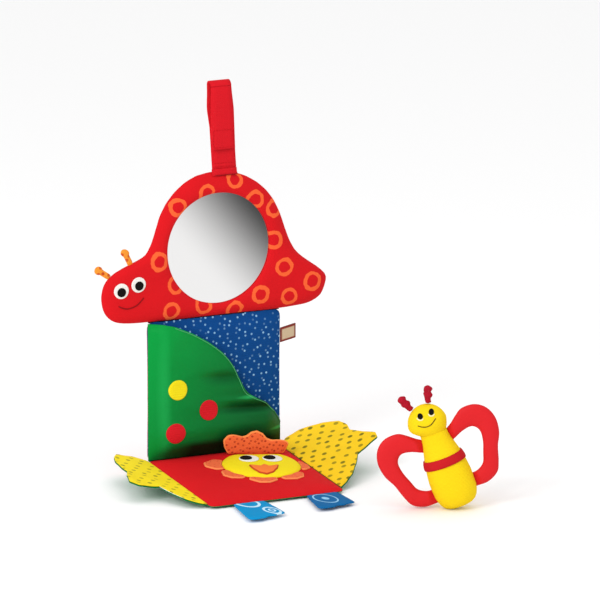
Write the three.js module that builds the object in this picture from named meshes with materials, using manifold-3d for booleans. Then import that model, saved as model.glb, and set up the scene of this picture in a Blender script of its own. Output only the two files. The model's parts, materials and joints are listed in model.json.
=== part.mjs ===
// A crib mirror: a hanging cloth toy of padded panels with a strap loop, a round mirror in a
// crawling creature, a garden panel with a pocket, a chick on a floor flap, and a loose butterfly.
// Millimetres, +Z up, fronts face -Y, origin at the inside top of the strap loop.

import * as THREE from "three";
import { mergeVertices } from "three/addons/utils/BufferGeometryUtils.js";
import Module from "manifold-3d";

const wasm = await Module();
wasm.setup();

// Cloth, felt and how pieces meet
const seatGap = 0.3;
const seamHalf = 0.6;
const coverCloth = 0.9;
const seamWall = 1.6;
const edgeRun = 8;
const feltThick = 1;
const foldGap = seatGap + seamHalf;

// Strap loop
const strapWidth = 26.5;
const strapThick = 1.6;
const strapCentreX = 12.4;
const strapLean = 0.063;
const loopHeight = 93.6;
const railGap = 8;
const tabLength = 46;
const tailEndHeight = 22.5;
const patchLength = 20;
const patchWidth = 22;
const patchThick = 1;
const peelTaper = 0.5;

// Mirror panel, in the shape of the creature
const creatureLength = 252;
const creatureHeight = 149.4;
const windowRadiusShare = 0.385;
const windowAlongShare = 0.01825;
const windowUpShare = 0.4685;
const creatureLoft = 7;
const creatureBackLoft = 5;
const windowRadius = creatureHeight * windowRadiusShare;
const windowCentreX = creatureLength * windowAlongShare;
const windowCentreZ = creatureHeight * windowUpShare;
const mirrorLap = 4;
const mirrorFace = 1.4;
const mirrorThick = 2;
const boardThick = 2;
const boardMargin = 2.5;
const creatureEyeRadius = 7.6;
const creaturePupilRadius = 4.8;
const feelerWidth = 8.8;
const feelerStalk = 6;
const feelerLength = 17;
const feelerThick = 2.6;

// Garden panel
const gardenWidth = 150;
const gardenLength = 145;
const gardenLoft = 4.5;
const gardenBackLoft = 4;
const panelCorner = 5;
const sideDraw = 1.2;
const satinThick = 0.8;
const pocketBulge = 8.6;
const slumpBulge = 1.6;
const creaseDepth = 1.2;
const dotRadius = 10.6;
const labelLength = 18.8;
const labelWidth = 15;
const labelTape = 0.5;
const labelSpread = 0.6;
const labelDrop = 27.9;

// Floor flap with the chick
const flapLength = 150;
const flapLoft = 4.6;
const flapUnderLoft = 4;
const faceRadius = 40.5;
const faceRise = 4;
const faceRim = 0.9;
const faceCentreX = 23.5;
const faceCentreDepth = 63;
const featherLength = 15;
const chickEyeRadius = 10.4;
const chickPupilRadius = 6.4;
const beakWidth = 31;
const beakLength = 22;
const beakThick = 1.8;
const combWidth = 69;
const combHeight = 25.7;
const combThick = 4;
const combSetback = 38.6;

// Wings and feet of the chick
const wingCloth = 0.7;
const crinkleFilm = 0.3;
const filmInset = 5;
const wingReach = 78;
const wingLength = 146;
const wingWave = 2.4;
const footWidth = 34;
const footLength = 66;
const rightFootLength = 56;
const footThick = 3;
const leftFootX = -33.5;
const rightFootX = 48.5;

// Butterfly rattle
const bodyLength = 82;
const bodyRadius = 22;
const bodyCloth = 1.2;
const headRadius = 20;
const headLift = 9.5;
const beltWidth = 9.5;
const beltThick = 1.1;
const beltHeight = 46;
const capsuleRadius = 9;
const capsuleHeight = 42;
const ringReach = 64;
const ringHeightShare = 81 / 82;
const ringBottomShare = 13.5 / 82;
const ringHeight = ringHeightShare * bodyLength;
const ringBottom = ringBottomShare * bodyLength;
const leftRingDrop = 2.5;
const ringThick = 9;
const ringBevel = 3;
const pinchRun = 6;
const knotRadius = 4.4;
const knotLength = 18.5;
const butterflyEyeRadius = 3.2;
const butterflyX = 154.5;
const butterflyY = -254;

// Turns of the folded toy, as it stands in use
const quarterTurn = Math.PI / 2;
const flapSlope = THREE.MathUtils.degToRad(5.2);
const rightWingTurn = THREE.MathUtils.degToRad(20);
const leftWingTurn = THREE.MathUtils.degToRad(12);
const footSlope = THREE.MathUtils.degToRad(1);
const faceTurn = THREE.MathUtils.degToRad(17);
const combLean = THREE.MathUtils.degToRad(10);
const butterflyTurn = THREE.MathUtils.degToRad(-26);
const butterflyTilt = THREE.MathUtils.degToRad(20.6);

// Cuts reach this far past what they cut, and points nearer than the weld are one point
const overrun = 30;
const weld = 0.001;

// A closed geometry as a solid that faces out
function toSolid(geometry) {
  const bare = new THREE.BufferGeometry();
  bare.setAttribute("position", geometry.getAttribute("position").clone());
  bare.setIndex(geometry.index ? geometry.index.clone() : null);
  const merged = mergeVertices(bare, weld);
  const make = (triVerts) =>
    new wasm.Manifold(
      new wasm.Mesh({
        numProp: 3,
        vertProperties: merged.attributes.position.array,
        triVerts,
      }),
    );
  const corners = new Uint32Array(merged.index.array);
  const solid = make(corners);
  return solid.volume() > 0 ? solid : make(corners.reverse());
}

function toGeometry(solid) {
  const { vertProperties, triVerts } = solid.getMesh();
  const geometry = new THREE.BufferGeometry();
  geometry.setAttribute("position", new THREE.BufferAttribute(vertProperties, 3));
  geometry.setIndex(new THREE.BufferAttribute(triVerts, 1));
  geometry.computeVertexNormals();
  return geometry;
}

// One named piece in its own material, added to the group that carries it
function addPiece(group, name, form, finish) {
  const geometry = form.isBufferGeometry ? form : toGeometry(form);
  const mesh = new THREE.Mesh(geometry, new THREE.MeshStandardMaterial(finish));
  mesh.name = name;
  group.add(mesh);
}

const redCotton = { color: 0xdd2028, roughness: 0.85, metalness: 0 };
const blueCotton = { color: 0x12559c, roughness: 0.85, metalness: 0 };
const greenSatin = { color: 0x0d7a37, roughness: 0.4, metalness: 0 };
const greenCotton = { color: 0x1c8c5a, roughness: 0.85, metalness: 0 };
const yellowCotton = { color: 0xf8d327, roughness: 0.85, metalness: 0 };
const yellowFelt = { color: 0xf6e11e, roughness: 0.95, metalness: 0 };
const redFelt = { color: 0xd8232e, roughness: 0.95, metalness: 0 };
const orangeCotton = { color: 0xf2733a, roughness: 0.85, metalness: 0 };
const whiteFelt = { color: 0xf2f0ec, roughness: 0.95, metalness: 0 };
const blackFelt = { color: 0x17120f, roughness: 0.9, metalness: 0 };
const wadding = { color: 0xece9e2, roughness: 1, metalness: 0 };
const mirrorFinish = { color: 0xdfe3e4, roughness: 0.04, metalness: 1 };
const boardFinish = { color: 0x8a6b48, roughness: 0.8, metalness: 0 };
const hookTape = { color: 0xc81f28, roughness: 0.9, metalness: 0 };
const labelTapeFinish = { color: 0xc9a48a, roughness: 0.7, metalness: 0 };
const filmFinish = { color: 0xe6ebee, roughness: 0.2, metalness: 0 };
const turquoiseCotton = { color: 0x1c91d0, roughness: 0.85, metalness: 0 };
const deepBlueCotton = { color: 0x1f6fb3, roughness: 0.85, metalness: 0 };
const redRubber = { color: 0xe82a2c, roughness: 0.6, metalness: 0 };
const redCord = { color: 0xc32232, roughness: 0.9, metalness: 0 };
const capsuleFinish = { color: 0xe9e4d8, roughness: 0.4, metalness: 0 };

// A smooth closed outline in X and Z through shares of a width and a height
function smoothOutline(shares, width, height, count) {
  const stations = shares.map(([x, z]) => new THREE.Vector3(x * width, 0, z * height));
  const curve = new THREE.CatmullRomCurve3(stations, true, "centripetal");
  const points = curve.getSpacedPoints(count).slice(1);
  return points.map((p) => new THREE.Vector2(p.x, p.z));
}

function straightOutline(shares, width, height) {
  return shares.map(([x, z]) => new THREE.Vector2(x * width, z * height));
}

function circleOutline(x, z, radius, count) {
  const points = new THREE.EllipseCurve(x, z, radius, radius).getPoints(count);
  return points.slice(1);
}

// An outline drawn towards a centre by a set distance
function inset(outline, centre, distance) {
  const moved = (p) => p.clone().add(centre.clone().sub(p).setLength(distance));
  return outline.map(moved);
}

// A solid through rings of equally many points, closed on itself or by a pole at each end
function loft(rings, poles) {
  const count = rings[0].length;
  const position = rings.flat().flatMap((p) => p.toArray());
  const index = [];
  const bands = poles ? rings.length - 1 : rings.length;
  for (let r = 0; r < bands; r++) {
    const near = r * count;
    const far = ((r + 1) % rings.length) * count;
    for (let i = 0; i < count; i++) {
      const j = (i + 1) % count;
      index.push(near + i, near + j, far + j);
      index.push(near + i, far + j, far + i);
    }
  }
  if (poles) {
    const last = (rings.length - 1) * count;
    const first = rings.length * count;
    position.push(...poles[0].toArray(), ...poles[1].toArray());
    for (let i = 0; i < count; i++) {
      const j = (i + 1) % count;
      index.push(first, j, i);
      index.push(first + 1, last + i, last + j);
    }
  }
  const geometry = new THREE.BufferGeometry();
  geometry.setAttribute("position", new THREE.Float32BufferAttribute(position, 3));
  geometry.setIndex(index);
  return toSolid(geometry);
}

// How a padded surface rises from its sewn edge. Each row has its place as a share of the edge's run
// and of the spoke to the middle, and its height as a share of the loft.
const runLimitShare = 0.35;
const panelRiseShares = [
  [0, 0, 0],
  [0.375, 0, 0.2],
  [1, 0, 0.6],
  [0, 0.45, 0.96],
];
const backRiseShares = [
  [0, 0, 0],
  [0.5, 0, 0.25],
  [0, 0.22, 0.95],
];
const windowRiseShares = [
  [0, 0, 0],
  [0.375, 0, 0.24],
  [1, 0, 0.7],
  [0, 0.55, 1],
  [-0.8, 1, 0.84],
  [0, 1, 0.32],
];
const tabRiseShares = [
  [0, 0, 0],
  [0, 0.4, 1],
];

function ringAt(outline, centre, holeRadius, [runShare, spokeShare], y) {
  return outline.map((p) => {
    const spoke = centre.clone().sub(p);
    const reach = spoke.length() - holeRadius;
    const run = Math.min(edgeRun, runLimitShare * reach);
    spoke.setLength(runShare * run + spokeShare * reach);
    return new THREE.Vector3(p.x + spoke.x, y, p.y + spoke.y);
  });
}

// The solid between a base plane and a padded surface. side is -1 for a front and 1 for a back.
function paddedForm({ outline, centre, hole = 0, rise, side, edge, crown, base }) {
  const level = (row) => side * (edge + (crown - edge) * row[2]);
  const rings = rise.map((row) => ringAt(outline, centre, hole, row, level(row)));
  rings.unshift(ringAt(outline, centre, hole, [0, 0], base));
  if (hole) {
    rings.push(ringAt(outline, centre, hole, [0, 1], base));
    return loft(rings);
  }
  const pole = (y) => new THREE.Vector3(centre.x, y, centre.y);
  return loft(rings, [pole(base), pole(side * crown)]);
}

// A cover, its hollow and the wadding that fills it share one padded shape
function paddedLayers(shape) {
  const { outline, centre, hole = 0, side, crown } = shape;
  const outer = paddedForm({ ...shape, edge: seamHalf, base: (side * seatGap) / 2 });
  const hollow = paddedForm({
    ...shape,
    outline: inset(outline, centre, seamWall),
    hole: hole ? hole - seatGap : 0,
    edge: seamHalf / 2,
    crown: crown - coverCloth,
    base: 0,
  });
  const filling = paddedForm({
    ...shape,
    outline: inset(outline, centre, seamWall + seatGap),
    edge: seamHalf / 4,
    crown: crown - coverCloth - seatGap,
    base: 0,
  });
  return { outer, cover: outer.subtract(hollow), filling };
}

// A straight-sided cutter through an outline, across the whole depth
function prism(outline, depth) {
  const shape = new THREE.Shape(outline);
  const geometry = new THREE.ExtrudeGeometry(shape, { depth, bevelEnabled: false });
  geometry.translate(0, 0, -depth / 2);
  geometry.rotateX(quarterTurn);
  return toSolid(geometry);
}

function disc(x, z, radius, frontY, thick, count) {
  const geometry = new THREE.CylinderGeometry(radius, radius, thick, count);
  geometry.translate(x, frontY + thick / 2, z);
  // The cylinder's own axis runs along Y, but its place was given in X and Z
  return toSolid(geometry);
}

// A layer of cloth or felt that lies on the front of another piece, following its surface
function layerOn(base, outline, lift, thick) {
  const above = base.translate(0, -lift - thick, 0);
  const layer = above.subtract(base.translate(0, -lift, 0));
  return layer.intersect(prism(outline, overrun * 2));
}

// A thin stuffed tab, pinched flat at its sewn outline
function stuffedTab(outline, centre, thick) {
  const shape = { outline, centre, rise: tabRiseShares, edge: seamHalf, crown: thick / 2, base: 0 };
  const front = paddedForm({ ...shape, side: -1 });
  return front.add(paddedForm({ ...shape, side: 1 }));
}

// A block whose front is drawn out to a height that changes over it
function relief(width, height, columns, rows, heightAt) {
  const geometry = new THREE.BoxGeometry(width, overrun, height, columns, 1, rows);
  const position = geometry.getAttribute("position");
  for (let i = 0; i < position.count; i++) {
    if (position.getY(i) < 0) {
      position.setY(i, -heightAt(position.getX(i), position.getZ(i)));
    }
  }
  return toSolid(geometry);
}

const smooth = (value) => THREE.MathUtils.smoothstep(value, 0, 1);
const ridge = (value, centre, spread) => Math.exp(-(((value - centre) / spread) ** 2));

// The strap's band: a short front tab, the fold at its foot, the rear leg and the bend over the rail
const legOffset = strapThick / 2 + seatGap / 2;
const bendRadius = (railGap + strapThick) / 2;
const bendHeight = loopHeight - bendRadius - strapThick / 2;
const openingFootShare = 0.5;
const openingTopShare = 0.72;
const tapeOffset = legOffset + strapThick / 2 + seatGap;
const hookOffset = tapeOffset + patchThick + seatGap;
const tailOffset = hookOffset + patchThick + seatGap + strapThick / 2;
const patchFoot = tailEndHeight + seatGap * 4;

// A flat strap along a centreline in Y and Z, sewn to a width and leaning with its height
function webbing(centreline, thick, width) {
  const side = (sign) =>
    centreline.map((p, i) => {
      const before = centreline[Math.max(i - 1, 0)];
      const after = centreline[Math.min(i + 1, centreline.length - 1)];
      const along = after.clone().sub(before).normalize();
      const across = new THREE.Vector2(-along.y, along.x);
      return p.clone().addScaledVector(across, (sign * thick) / 2);
    });
  const shape = new THREE.Shape([...side(1), ...side(-1).reverse()]);
  const geometry = new THREE.ExtrudeGeometry(shape, { depth: width, bevelEnabled: false });
  const position = geometry.getAttribute("position");
  for (let i = 0; i < position.count; i++) {
    const [y, z] = [position.getX(i), position.getY(i)];
    position.setXYZ(i, width / 2 - position.getZ(i) - z * strapLean, y, z);
  }
  return toSolid(geometry);
}

function bend(centreY, centreZ, radius, from, to, steps) {
  const arc = new THREE.EllipseCurve(centreY, centreZ, radius, radius, from, to, to < from);
  return arc.getPoints(steps);
}

function strapBand() {
  const openFoot = new THREE.Vector2(legOffset, bendHeight * openingFootShare);
  const openTop = new THREE.Vector2(bendRadius, bendHeight * openingTopShare);
  const footLift = legOffset + strapThick / 2;
  return webbing(
    [
      new THREE.Vector2(-legOffset, tabLength),
      ...bend(0, footLift, legOffset, Math.PI, 2 * Math.PI, 8),
      openFoot,
      openTop,
      ...bend(0, bendHeight, bendRadius, 0, Math.PI - peelTaper / bendRadius, 12),
    ],
    strapThick,
    strapWidth,
  );
}

function strapTail() {
  return webbing(
    [
      new THREE.Vector2(-bendRadius, bendHeight - foldGap),
      new THREE.Vector2(-tailOffset, bendHeight * openingTopShare),
      new THREE.Vector2(-tailOffset, tailEndHeight),
    ],
    strapThick,
    strapWidth,
  );
}

function strapPatch(offset) {
  const y = -offset - patchThick / 2;
  return webbing(
    [new THREE.Vector2(y, patchFoot + patchLength), new THREE.Vector2(y, patchFoot)],
    patchThick,
    patchWidth,
  );
}

// The creature's outline, from the middle of its back round its tail, belly and head
const creatureShares = [
  [0.035, 1],
  [0.125, 0.965],
  [0.202, 0.89],
  [0.258, 0.793],
  [0.3, 0.66],
  [0.325, 0.532],
  [0.357, 0.414],
  [0.398, 0.338],
  [0.474, 0.262],
  [0.499, 0.19],
  [0.485, 0.105],
  [0.43, 0.025],
  [0.31, 0],
  [0.15, 0],
  [-0.05, 0],
  [-0.25, 0],
  [-0.4, 0.006],
  [-0.455, 0.025],
  [-0.486, 0.082],
  [-0.501, 0.173],
  [-0.497, 0.262],
  [-0.475, 0.338],
  [-0.44, 0.372],
  [-0.393, 0.405],
  [-0.352, 0.422],
  [-0.319, 0.435],
  [-0.29, 0.488],
  [-0.262, 0.608],
  [-0.238, 0.73],
  [-0.2, 0.835],
  [-0.151, 0.914],
  [-0.087, 0.977],
];
const creatureEyeShares = [
  [-0.423, 0.243],
  [-0.342, 0.274],
];
const creaturePupilShares = [
  [-0.416, 0.234],
  [-0.333, 0.265],
];

const creatureOutline = smoothOutline(creatureShares, creatureLength, creatureHeight, 46);

// Where each feeler leaves the head's edge, and how it leans from there
const feelerSeatShares = [
  [-0.4705, 0.3475],
  [-0.3705, 0.418],
];
const feelerLeanShares = [0.02, 0.2];

// A finger of dotted cloth, flat at its foot, with a narrower stalk and a round tip
function feeler(lean) {
  const outline = new THREE.Shape();
  const tip = feelerWidth / 2;
  const stalk = feelerStalk / 2;
  const neck = Math.acos(stalk / tip);
  const knob = feelerLength - tip;
  outline.moveTo(-stalk, 0);
  outline.lineTo(-stalk, knob - tip * Math.sin(neck));
  outline.absarc(0, knob, tip, Math.PI + neck, -neck, true);
  outline.lineTo(stalk, 0);
  const leaning = (p) => new THREE.Vector2(p.x - p.y * lean, p.y + foldGap);
  const centre = leaning(new THREE.Vector2(0, feelerLength / 2));
  return stuffedTab(outline.getPoints(6).map(leaning), centre, feelerThick);
}

function mirrorPanel() {
  const panel = new THREE.Group();
  panel.name = "mirror_panel";
  const outline = creatureOutline;
  const centre = new THREE.Vector2(windowCentreX, windowCentreZ);
  const front = paddedLayers({
    outline,
    centre,
    hole: windowRadius,
    rise: windowRiseShares,
    side: -1,
    crown: creatureLoft,
  });
  const back = paddedLayers({
    outline,
    centre,
    rise: backRiseShares,
    side: 1,
    crown: creatureBackLoft,
  });
  const mirrorRadius = windowRadius + mirrorLap;
  const bedFront = -creatureLoft - overrun / 2;
  const bedDepth = overrun + creatureLoft;
  const bed = disc(centre.x, centre.y, mirrorRadius + seatGap, bedFront, bedDepth, 40);
  const boardFace = mirrorThick - mirrorFace + seatGap;
  addPiece(panel, "mirror_front_cover", front.cover, redCotton);
  addPiece(panel, "mirror_back_cover", back.cover, redCotton);
  addPiece(panel, "mirror_wadding", front.filling.add(back.filling).subtract(bed), wadding);
  const mirror = disc(centre.x, centre.y, mirrorRadius, -mirrorFace, mirrorThick, 40);
  addPiece(panel, "mirror_disc", mirror, mirrorFinish);
  const board = disc(centre.x, centre.y, windowRadius - boardMargin, boardFace, boardThick, 40);
  addPiece(panel, "mirror_board", board, boardFinish);
  ["left", "right"].forEach((hand, i) => {
    const place = (shares, radius) =>
      circleOutline(shares[i][0] * creatureLength, shares[i][1] * creatureHeight, radius, 16);
    const white = place(creatureEyeShares, creatureEyeRadius);
    const pupil = place(creaturePupilShares, creaturePupilRadius);
    const eyeForm = layerOn(front.outer, white, seatGap, feltThick);
    const pupilLift = seatGap + feltThick + seatGap;
    const pupilForm = layerOn(front.outer, pupil, pupilLift, feltThick);
    addPiece(panel, `creature_${hand}_eye`, eyeForm, whiteFelt);
    addPiece(panel, `creature_${hand}_pupil`, pupilForm, blackFelt);
  });
  return panel;
}


// The point of an outline's edges that lies nearest to a given one, and the edge's slope there
function seatOn(outline, target) {
  const flat = (p) => new THREE.Vector3(p.x, 0, p.y);
  const goal = flat(target);
  const edges = outline.map((p, i) => {
    return new THREE.Line3(flat(p), flat(outline[(i + 1) % outline.length]));
  });
  const seats = edges.map((edge) => {
    const point = edge.closestPointToPoint(goal, true, new THREE.Vector3());
    const along = edge.delta(new THREE.Vector3());
    return { point, slope: Math.atan(along.z / along.x) };
  });
  return seats.sort((a, b) => a.point.distanceTo(goal) - b.point.distanceTo(goal))[0];
}

function creatureFeeler(hand, i) {
  const joint = new THREE.Group();
  joint.name = `creature_${hand}_antenna`;
  const [x, z] = feelerSeatShares[i];
  const target = new THREE.Vector2(x * creatureLength, z * creatureHeight);
  const seat = seatOn(creatureOutline, target);
  joint.position.copy(seat.point);
  joint.rotation.y = -seat.slope;
  addPiece(joint, joint.name, feeler(feelerLeanShares[i]), orangeCotton);
  return joint;
}

// A hanging panel's outline, straight at its folds and drawn in at its free sides
function panelOutline(width, length, draw) {
  const x = width / 2;
  const top = -foldGap;
  const foot = top - length;
  const middle = top - length / 2;
  const outline = new THREE.Shape();
  outline.moveTo(0, top);
  outline.lineTo(x - panelCorner, top);
  outline.quadraticCurveTo(x, top, x, top - panelCorner);
  outline.quadraticCurveTo(x - draw, middle, x, foot + panelCorner);
  outline.quadraticCurveTo(x, foot, x - panelCorner, foot);
  outline.lineTo(0, foot);
  outline.lineTo(panelCorner - x, foot);
  outline.quadraticCurveTo(-x, foot, -x, foot + panelCorner);
  outline.quadraticCurveTo(draw - x, middle, -x, top - panelCorner);
  outline.quadraticCurveTo(-x, top, panelCorner - x, top);
  return outline.getPoints(3);
}

// A padded panel's two covers and its wadding, and the solid under its front for what lies on it
function paddedPanel(width, length, draw, frontLoft, backLoft) {
  const outline = panelOutline(width, length, draw);
  const centre = new THREE.Vector2(0, -foldGap - length / 2);
  const shape = { outline, centre };
  const front = paddedLayers({ ...shape, rise: panelRiseShares, side: -1, crown: frontLoft });
  const back = paddedLayers({ ...shape, rise: backRiseShares, side: 1, crown: backLoft });
  return { front, back, filling: front.filling.add(back.filling) };
}

// The pocket's outline, in shares from the panel's lower left corner: up its left side, then down
// along its open edge to the right
const pocketShares = [
  [0.009, 0.02],
  [0.009, 0.98],
  [0.09, 0.98],
  [0.18, 0.965],
  [0.304, 0.91],
  [0.426, 0.835],
  [0.53, 0.75],
  [0.6, 0.66],
  [0.652, 0.555],
  [0.687, 0.471],
  [0.736, 0.421],
  [0.857, 0.358],
  [0.932, 0.285],
  [0.991, 0.2],
  [0.991, 0.02],
];
const leftSewnShare = 0.3;
const rightSewnShare = 0.2;
const footSewnShare = 0.2;
const slumpShare = 0.19;
const slumpSpreadShare = 0.08;
const creaseShares = [
  { height: 0.36, spread: 0.035, from: 0.42 },
  { height: 0.56, spread: 0.04, from: 0.3 },
];
const dotShares = {
  yellow_dot: [0.188, 0.516],
  upper_red_dot: [0.417, 0.348],
  lower_red_dot: [0.167, 0.206],
};

// The satin's height off the cover: sewn down at three sides, slumped at its foot and creased
function pocketRise(x, z) {
  const across = x / gardenWidth + 0.5;
  const up = z / gardenLength + 0.5;
  const sewn =
    smooth(across / leftSewnShare) *
    smooth((1 - across) / rightSewnShare) *
    smooth(up / footSewnShare);
  const slump = slumpBulge * ridge(up, slumpShare, slumpSpreadShare);
  const creases = creaseShares.map(({ height, spread, from }) => {
    return creaseDepth * ridge(up, height, spread) * smooth((across - from) / rightSewnShare);
  });
  return sewn * (gardenLoft - satinThick + pocketBulge + slump - creases[0] - creases[1]);
}

function gardenPanel() {
  const panel = new THREE.Group();
  panel.name = "garden_panel";
  const { front, back, filling } = paddedPanel(
    gardenWidth,
    gardenLength,
    sideDraw,
    gardenLoft,
    gardenBackLoft,
  );
  addPiece(panel, "garden_front_cover", front.cover, blueCotton);
  addPiece(panel, "garden_back_cover", back.cover, redCotton);
  addPiece(panel, "garden_wadding", filling, wadding);
  const corner = new THREE.Vector2(-gardenWidth / 2, -foldGap - gardenLength);
  const atCorner = (outline) => outline.map((p) => p.add(corner));
  const swell = relief(gardenWidth, gardenLength, 8, 13, pocketRise);
  const placed = swell.translate(0, 0, corner.y + gardenLength / 2);
  const outer = front.outer.translate(0, -seatGap - satinThick, 0).add(placed);
  const backing = relief(gardenWidth * 2, gardenLength * 4, 1, 1, () => seatGap * 2);
  const inner = front.outer
    .translate(0, -seatGap, 0)
    .add(placed.translate(0, satinThick, 0))
    .add(backing);
  const outline = atCorner(straightOutline(pocketShares, gardenWidth, gardenLength));
  const satin = outer.subtract(inner).intersect(prism(outline, overrun * 2));
  addPiece(panel, "hill_pocket", satin, greenSatin);
  Object.entries(dotShares).forEach(([name, [x, z]]) => {
    const rim = atCorner(circleOutline(x * gardenWidth, z * gardenLength, dotRadius, 18));
    const finish = name === "yellow_dot" ? yellowFelt : redFelt;
    addPiece(panel, name, layerOn(outer, rim, seatGap, feltThick), finish);
  });
  return panel;
}

const labelDrawShare = 0.22;

// A woven tape folded over and sewn into the panel's right seam by its two ends
function sideLabel() {
  const joint = new THREE.Group();
  joint.name = "side_label";
  const seat = gardenWidth / 2 - sideDraw * labelDrawShare;
  joint.position.set(seat, 0, -foldGap - labelDrop);
  const half = (labelTape + labelSpread) / 2;
  const fold = labelLength - half - labelTape / 2;
  const outline = new THREE.Shape();
  outline.moveTo(foldGap, half + labelTape / 2);
  outline.lineTo(fold, half + labelTape / 2);
  outline.absarc(fold, 0, half + labelTape / 2, quarterTurn, -quarterTurn, true);
  outline.lineTo(foldGap, -half - labelTape / 2);
  outline.lineTo(foldGap, labelTape / 2 - half);
  outline.lineTo(fold, labelTape / 2 - half);
  outline.absarc(fold, 0, half - labelTape / 2, -quarterTurn, quarterTurn, false);
  outline.lineTo(foldGap, half - labelTape / 2);
  const geometry = new THREE.ExtrudeGeometry(outline, {
    depth: labelWidth,
    bevelEnabled: false,
    curveSegments: 4,
  });
  geometry.translate(0, 0, -labelWidth / 2);
  addPiece(joint, "side_label", toSolid(geometry), labelTapeFinish);
  return joint;
}

// Feathers stand round the face at these turns from the chick's right hand, as seen from above
const featherTurns = [0, 0.9, 1.68, 2.45, 3.22];
const featherHalfTurn = 0.36;
const featherTipShares = [
  [-1, -0.2],
  [-0.85, 0.55],
  [-0.2, 1],
  [0.35, 0.96],
  [0.9, 0.5],
  [1, -0.2],
];
const featherStretchShares = [0.66, 0.9, 0.95, 0.9, 1.25];
const eyeSpreadShare = 0.3;
const eyeRiseShare = 0.16;
const pupilShiftShare = 0.075;
const beakTopShare = 0.37;
const beakShares = [
  [-0.5, 0.02],
  [-0.33, -0.2],
  [-0.18, -0.18],
  [0, 0.06],
  [0.16, -0.16],
  [0.33, -0.18],
  [0.5, 0.02],
  [0.41, -0.42],
  [0.24, -0.82],
  [0, -1],
  [-0.24, -0.85],
  [-0.41, -0.45],
];
const faceRiseShares = [
  [0, 0, 0],
  [0.5, 0, 0.55],
  [0, 0.35, 0.88],
  [0, 0.7, 0.98],
];
const faceCutShare = 0.9;

function floorFlap() {
  const flap = new THREE.Group();
  flap.name = "floor_flap";
  const { front, back, filling } = paddedPanel(
    gardenWidth,
    flapLength,
    0,
    flapLoft,
    flapUnderLoft,
  );
  addPiece(flap, "flap_top_cover", front.cover, redCotton);
  addPiece(flap, "flap_underside", back.cover, greenCotton);
  addPiece(flap, "flap_wadding", filling, wadding);
  const centre = new THREE.Vector2(faceCentreX, -faceCentreDepth);
  const onFace = (outline) =>
    outline.map((p) => p.rotateAround(new THREE.Vector2(), -faceTurn).add(centre));
  const faceTop = flapLoft + seatGap + faceRim + faceRise;
  const pad = paddedForm({
    outline: circleOutline(centre.x, centre.y, faceRadius, 32),
    centre,
    rise: faceRiseShares,
    side: -1,
    edge: flapLoft + seatGap + faceRim,
    crown: faceTop,
    base: -flapLoft / 2,
  });
  const combLine = (combSetback - combThick) * faceCutShare;
  const wide = faceRadius * 2;
  const crownCut = onFace([
    new THREE.Vector2(-wide, combLine),
    new THREE.Vector2(wide, combLine),
    new THREE.Vector2(wide, wide),
    new THREE.Vector2(-wide, wide),
  ]);
  const seated = front.outer.translate(0, -seatGap, 0);
  const face = pad.subtract(seated).subtract(prism(crownCut, overrun * 2));
  addPiece(flap, "chick_face", face, yellowCotton);
  featherTurns.forEach((turn, i) => {
    const reach = featherLength * featherStretchShares[i];
    const petal = featherTipShares.map(([across, out]) => {
      const angle = -turn + across * featherHalfTurn;
      const radius = faceRadius + reach * out;
      return new THREE.Vector2(Math.cos(angle) * radius, Math.sin(angle) * radius);
    });
    const rim = disc(centre.x, centre.y, faceRadius + seatGap, -overrun, overrun * 2, 32);
    const feather = layerOn(front.outer, onFace(petal), seatGap, feltThick);
    addPiece(flap, `chick_feather_${i + 1}`, feather.subtract(rim), orangeCotton);
  });
  const beak = straightOutline(beakShares, beakWidth, beakLength);
  const lowered = beak.map((p) => p.add(new THREE.Vector2(0, -beakTopShare * faceRadius)));
  addPiece(flap, "chick_beak", layerOn(pad, onFace(lowered), seatGap, beakThick), orangeCotton);
  ["left", "right"].forEach((hand, i) => {
    const x = (i ? 1 : -1) * eyeSpreadShare * faceRadius;
    const z = eyeRiseShare * faceRadius;
    const white = onFace(circleOutline(x, z, chickEyeRadius, 16));
    const pupilX = x - pupilShiftShare * faceRadius;
    const pupil = onFace(circleOutline(pupilX, z, chickPupilRadius, 14));
    const pupilLift = seatGap + feltThick + seatGap;
    addPiece(flap, `chick_${hand}_eye`, layerOn(pad, white, seatGap, feltThick), whiteFelt);
    addPiece(flap, `chick_${hand}_pupil`, layerOn(pad, pupil, pupilLift, feltThick), blackFelt);
  });
  return flap;
}

// The comb's three lobes, in shares of its width from the middle and of its height
const combShares = [
  [-0.42, 0],
  [0.41, 0],
  [0.45, 0.18],
  [0.49, 0.44],
  [0.44, 0.56],
  [0.34, 0.61],
  [0.24, 0.58],
  [0.155, 0.67],
  [0.09, 0.88],
  [0, 1],
  [-0.085, 0.95],
  [-0.15, 0.8],
  [-0.225, 0.74],
  [-0.32, 0.84],
  [-0.43, 0.82],
  [-0.5, 0.6],
  [-0.48, 0.3],
];

const combSeatShare = 0.8;

function chickComb() {
  const joint = new THREE.Group();
  joint.name = "chick_comb";
  const back = new THREE.Vector2(0, combSetback).rotateAround(new THREE.Vector2(), -faceTurn);
  const foot = flapLoft * combSeatShare + seatGap + seamHalf;
  joint.position.set(faceCentreX + back.x, -foot, -faceCentreDepth + back.y);
  joint.rotation.order = "YXZ";
  joint.rotation.y = faceTurn;
  joint.rotation.x = quarterTurn - flapSlope + combLean;
  const outline = straightOutline(combShares, combWidth, combHeight);
  const centre = new THREE.Vector2(0, combHeight * 0.4);
  addPiece(joint, "chick_comb", stuffedTab(outline, centre, combThick), orangeCotton);
  return joint;
}

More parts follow.
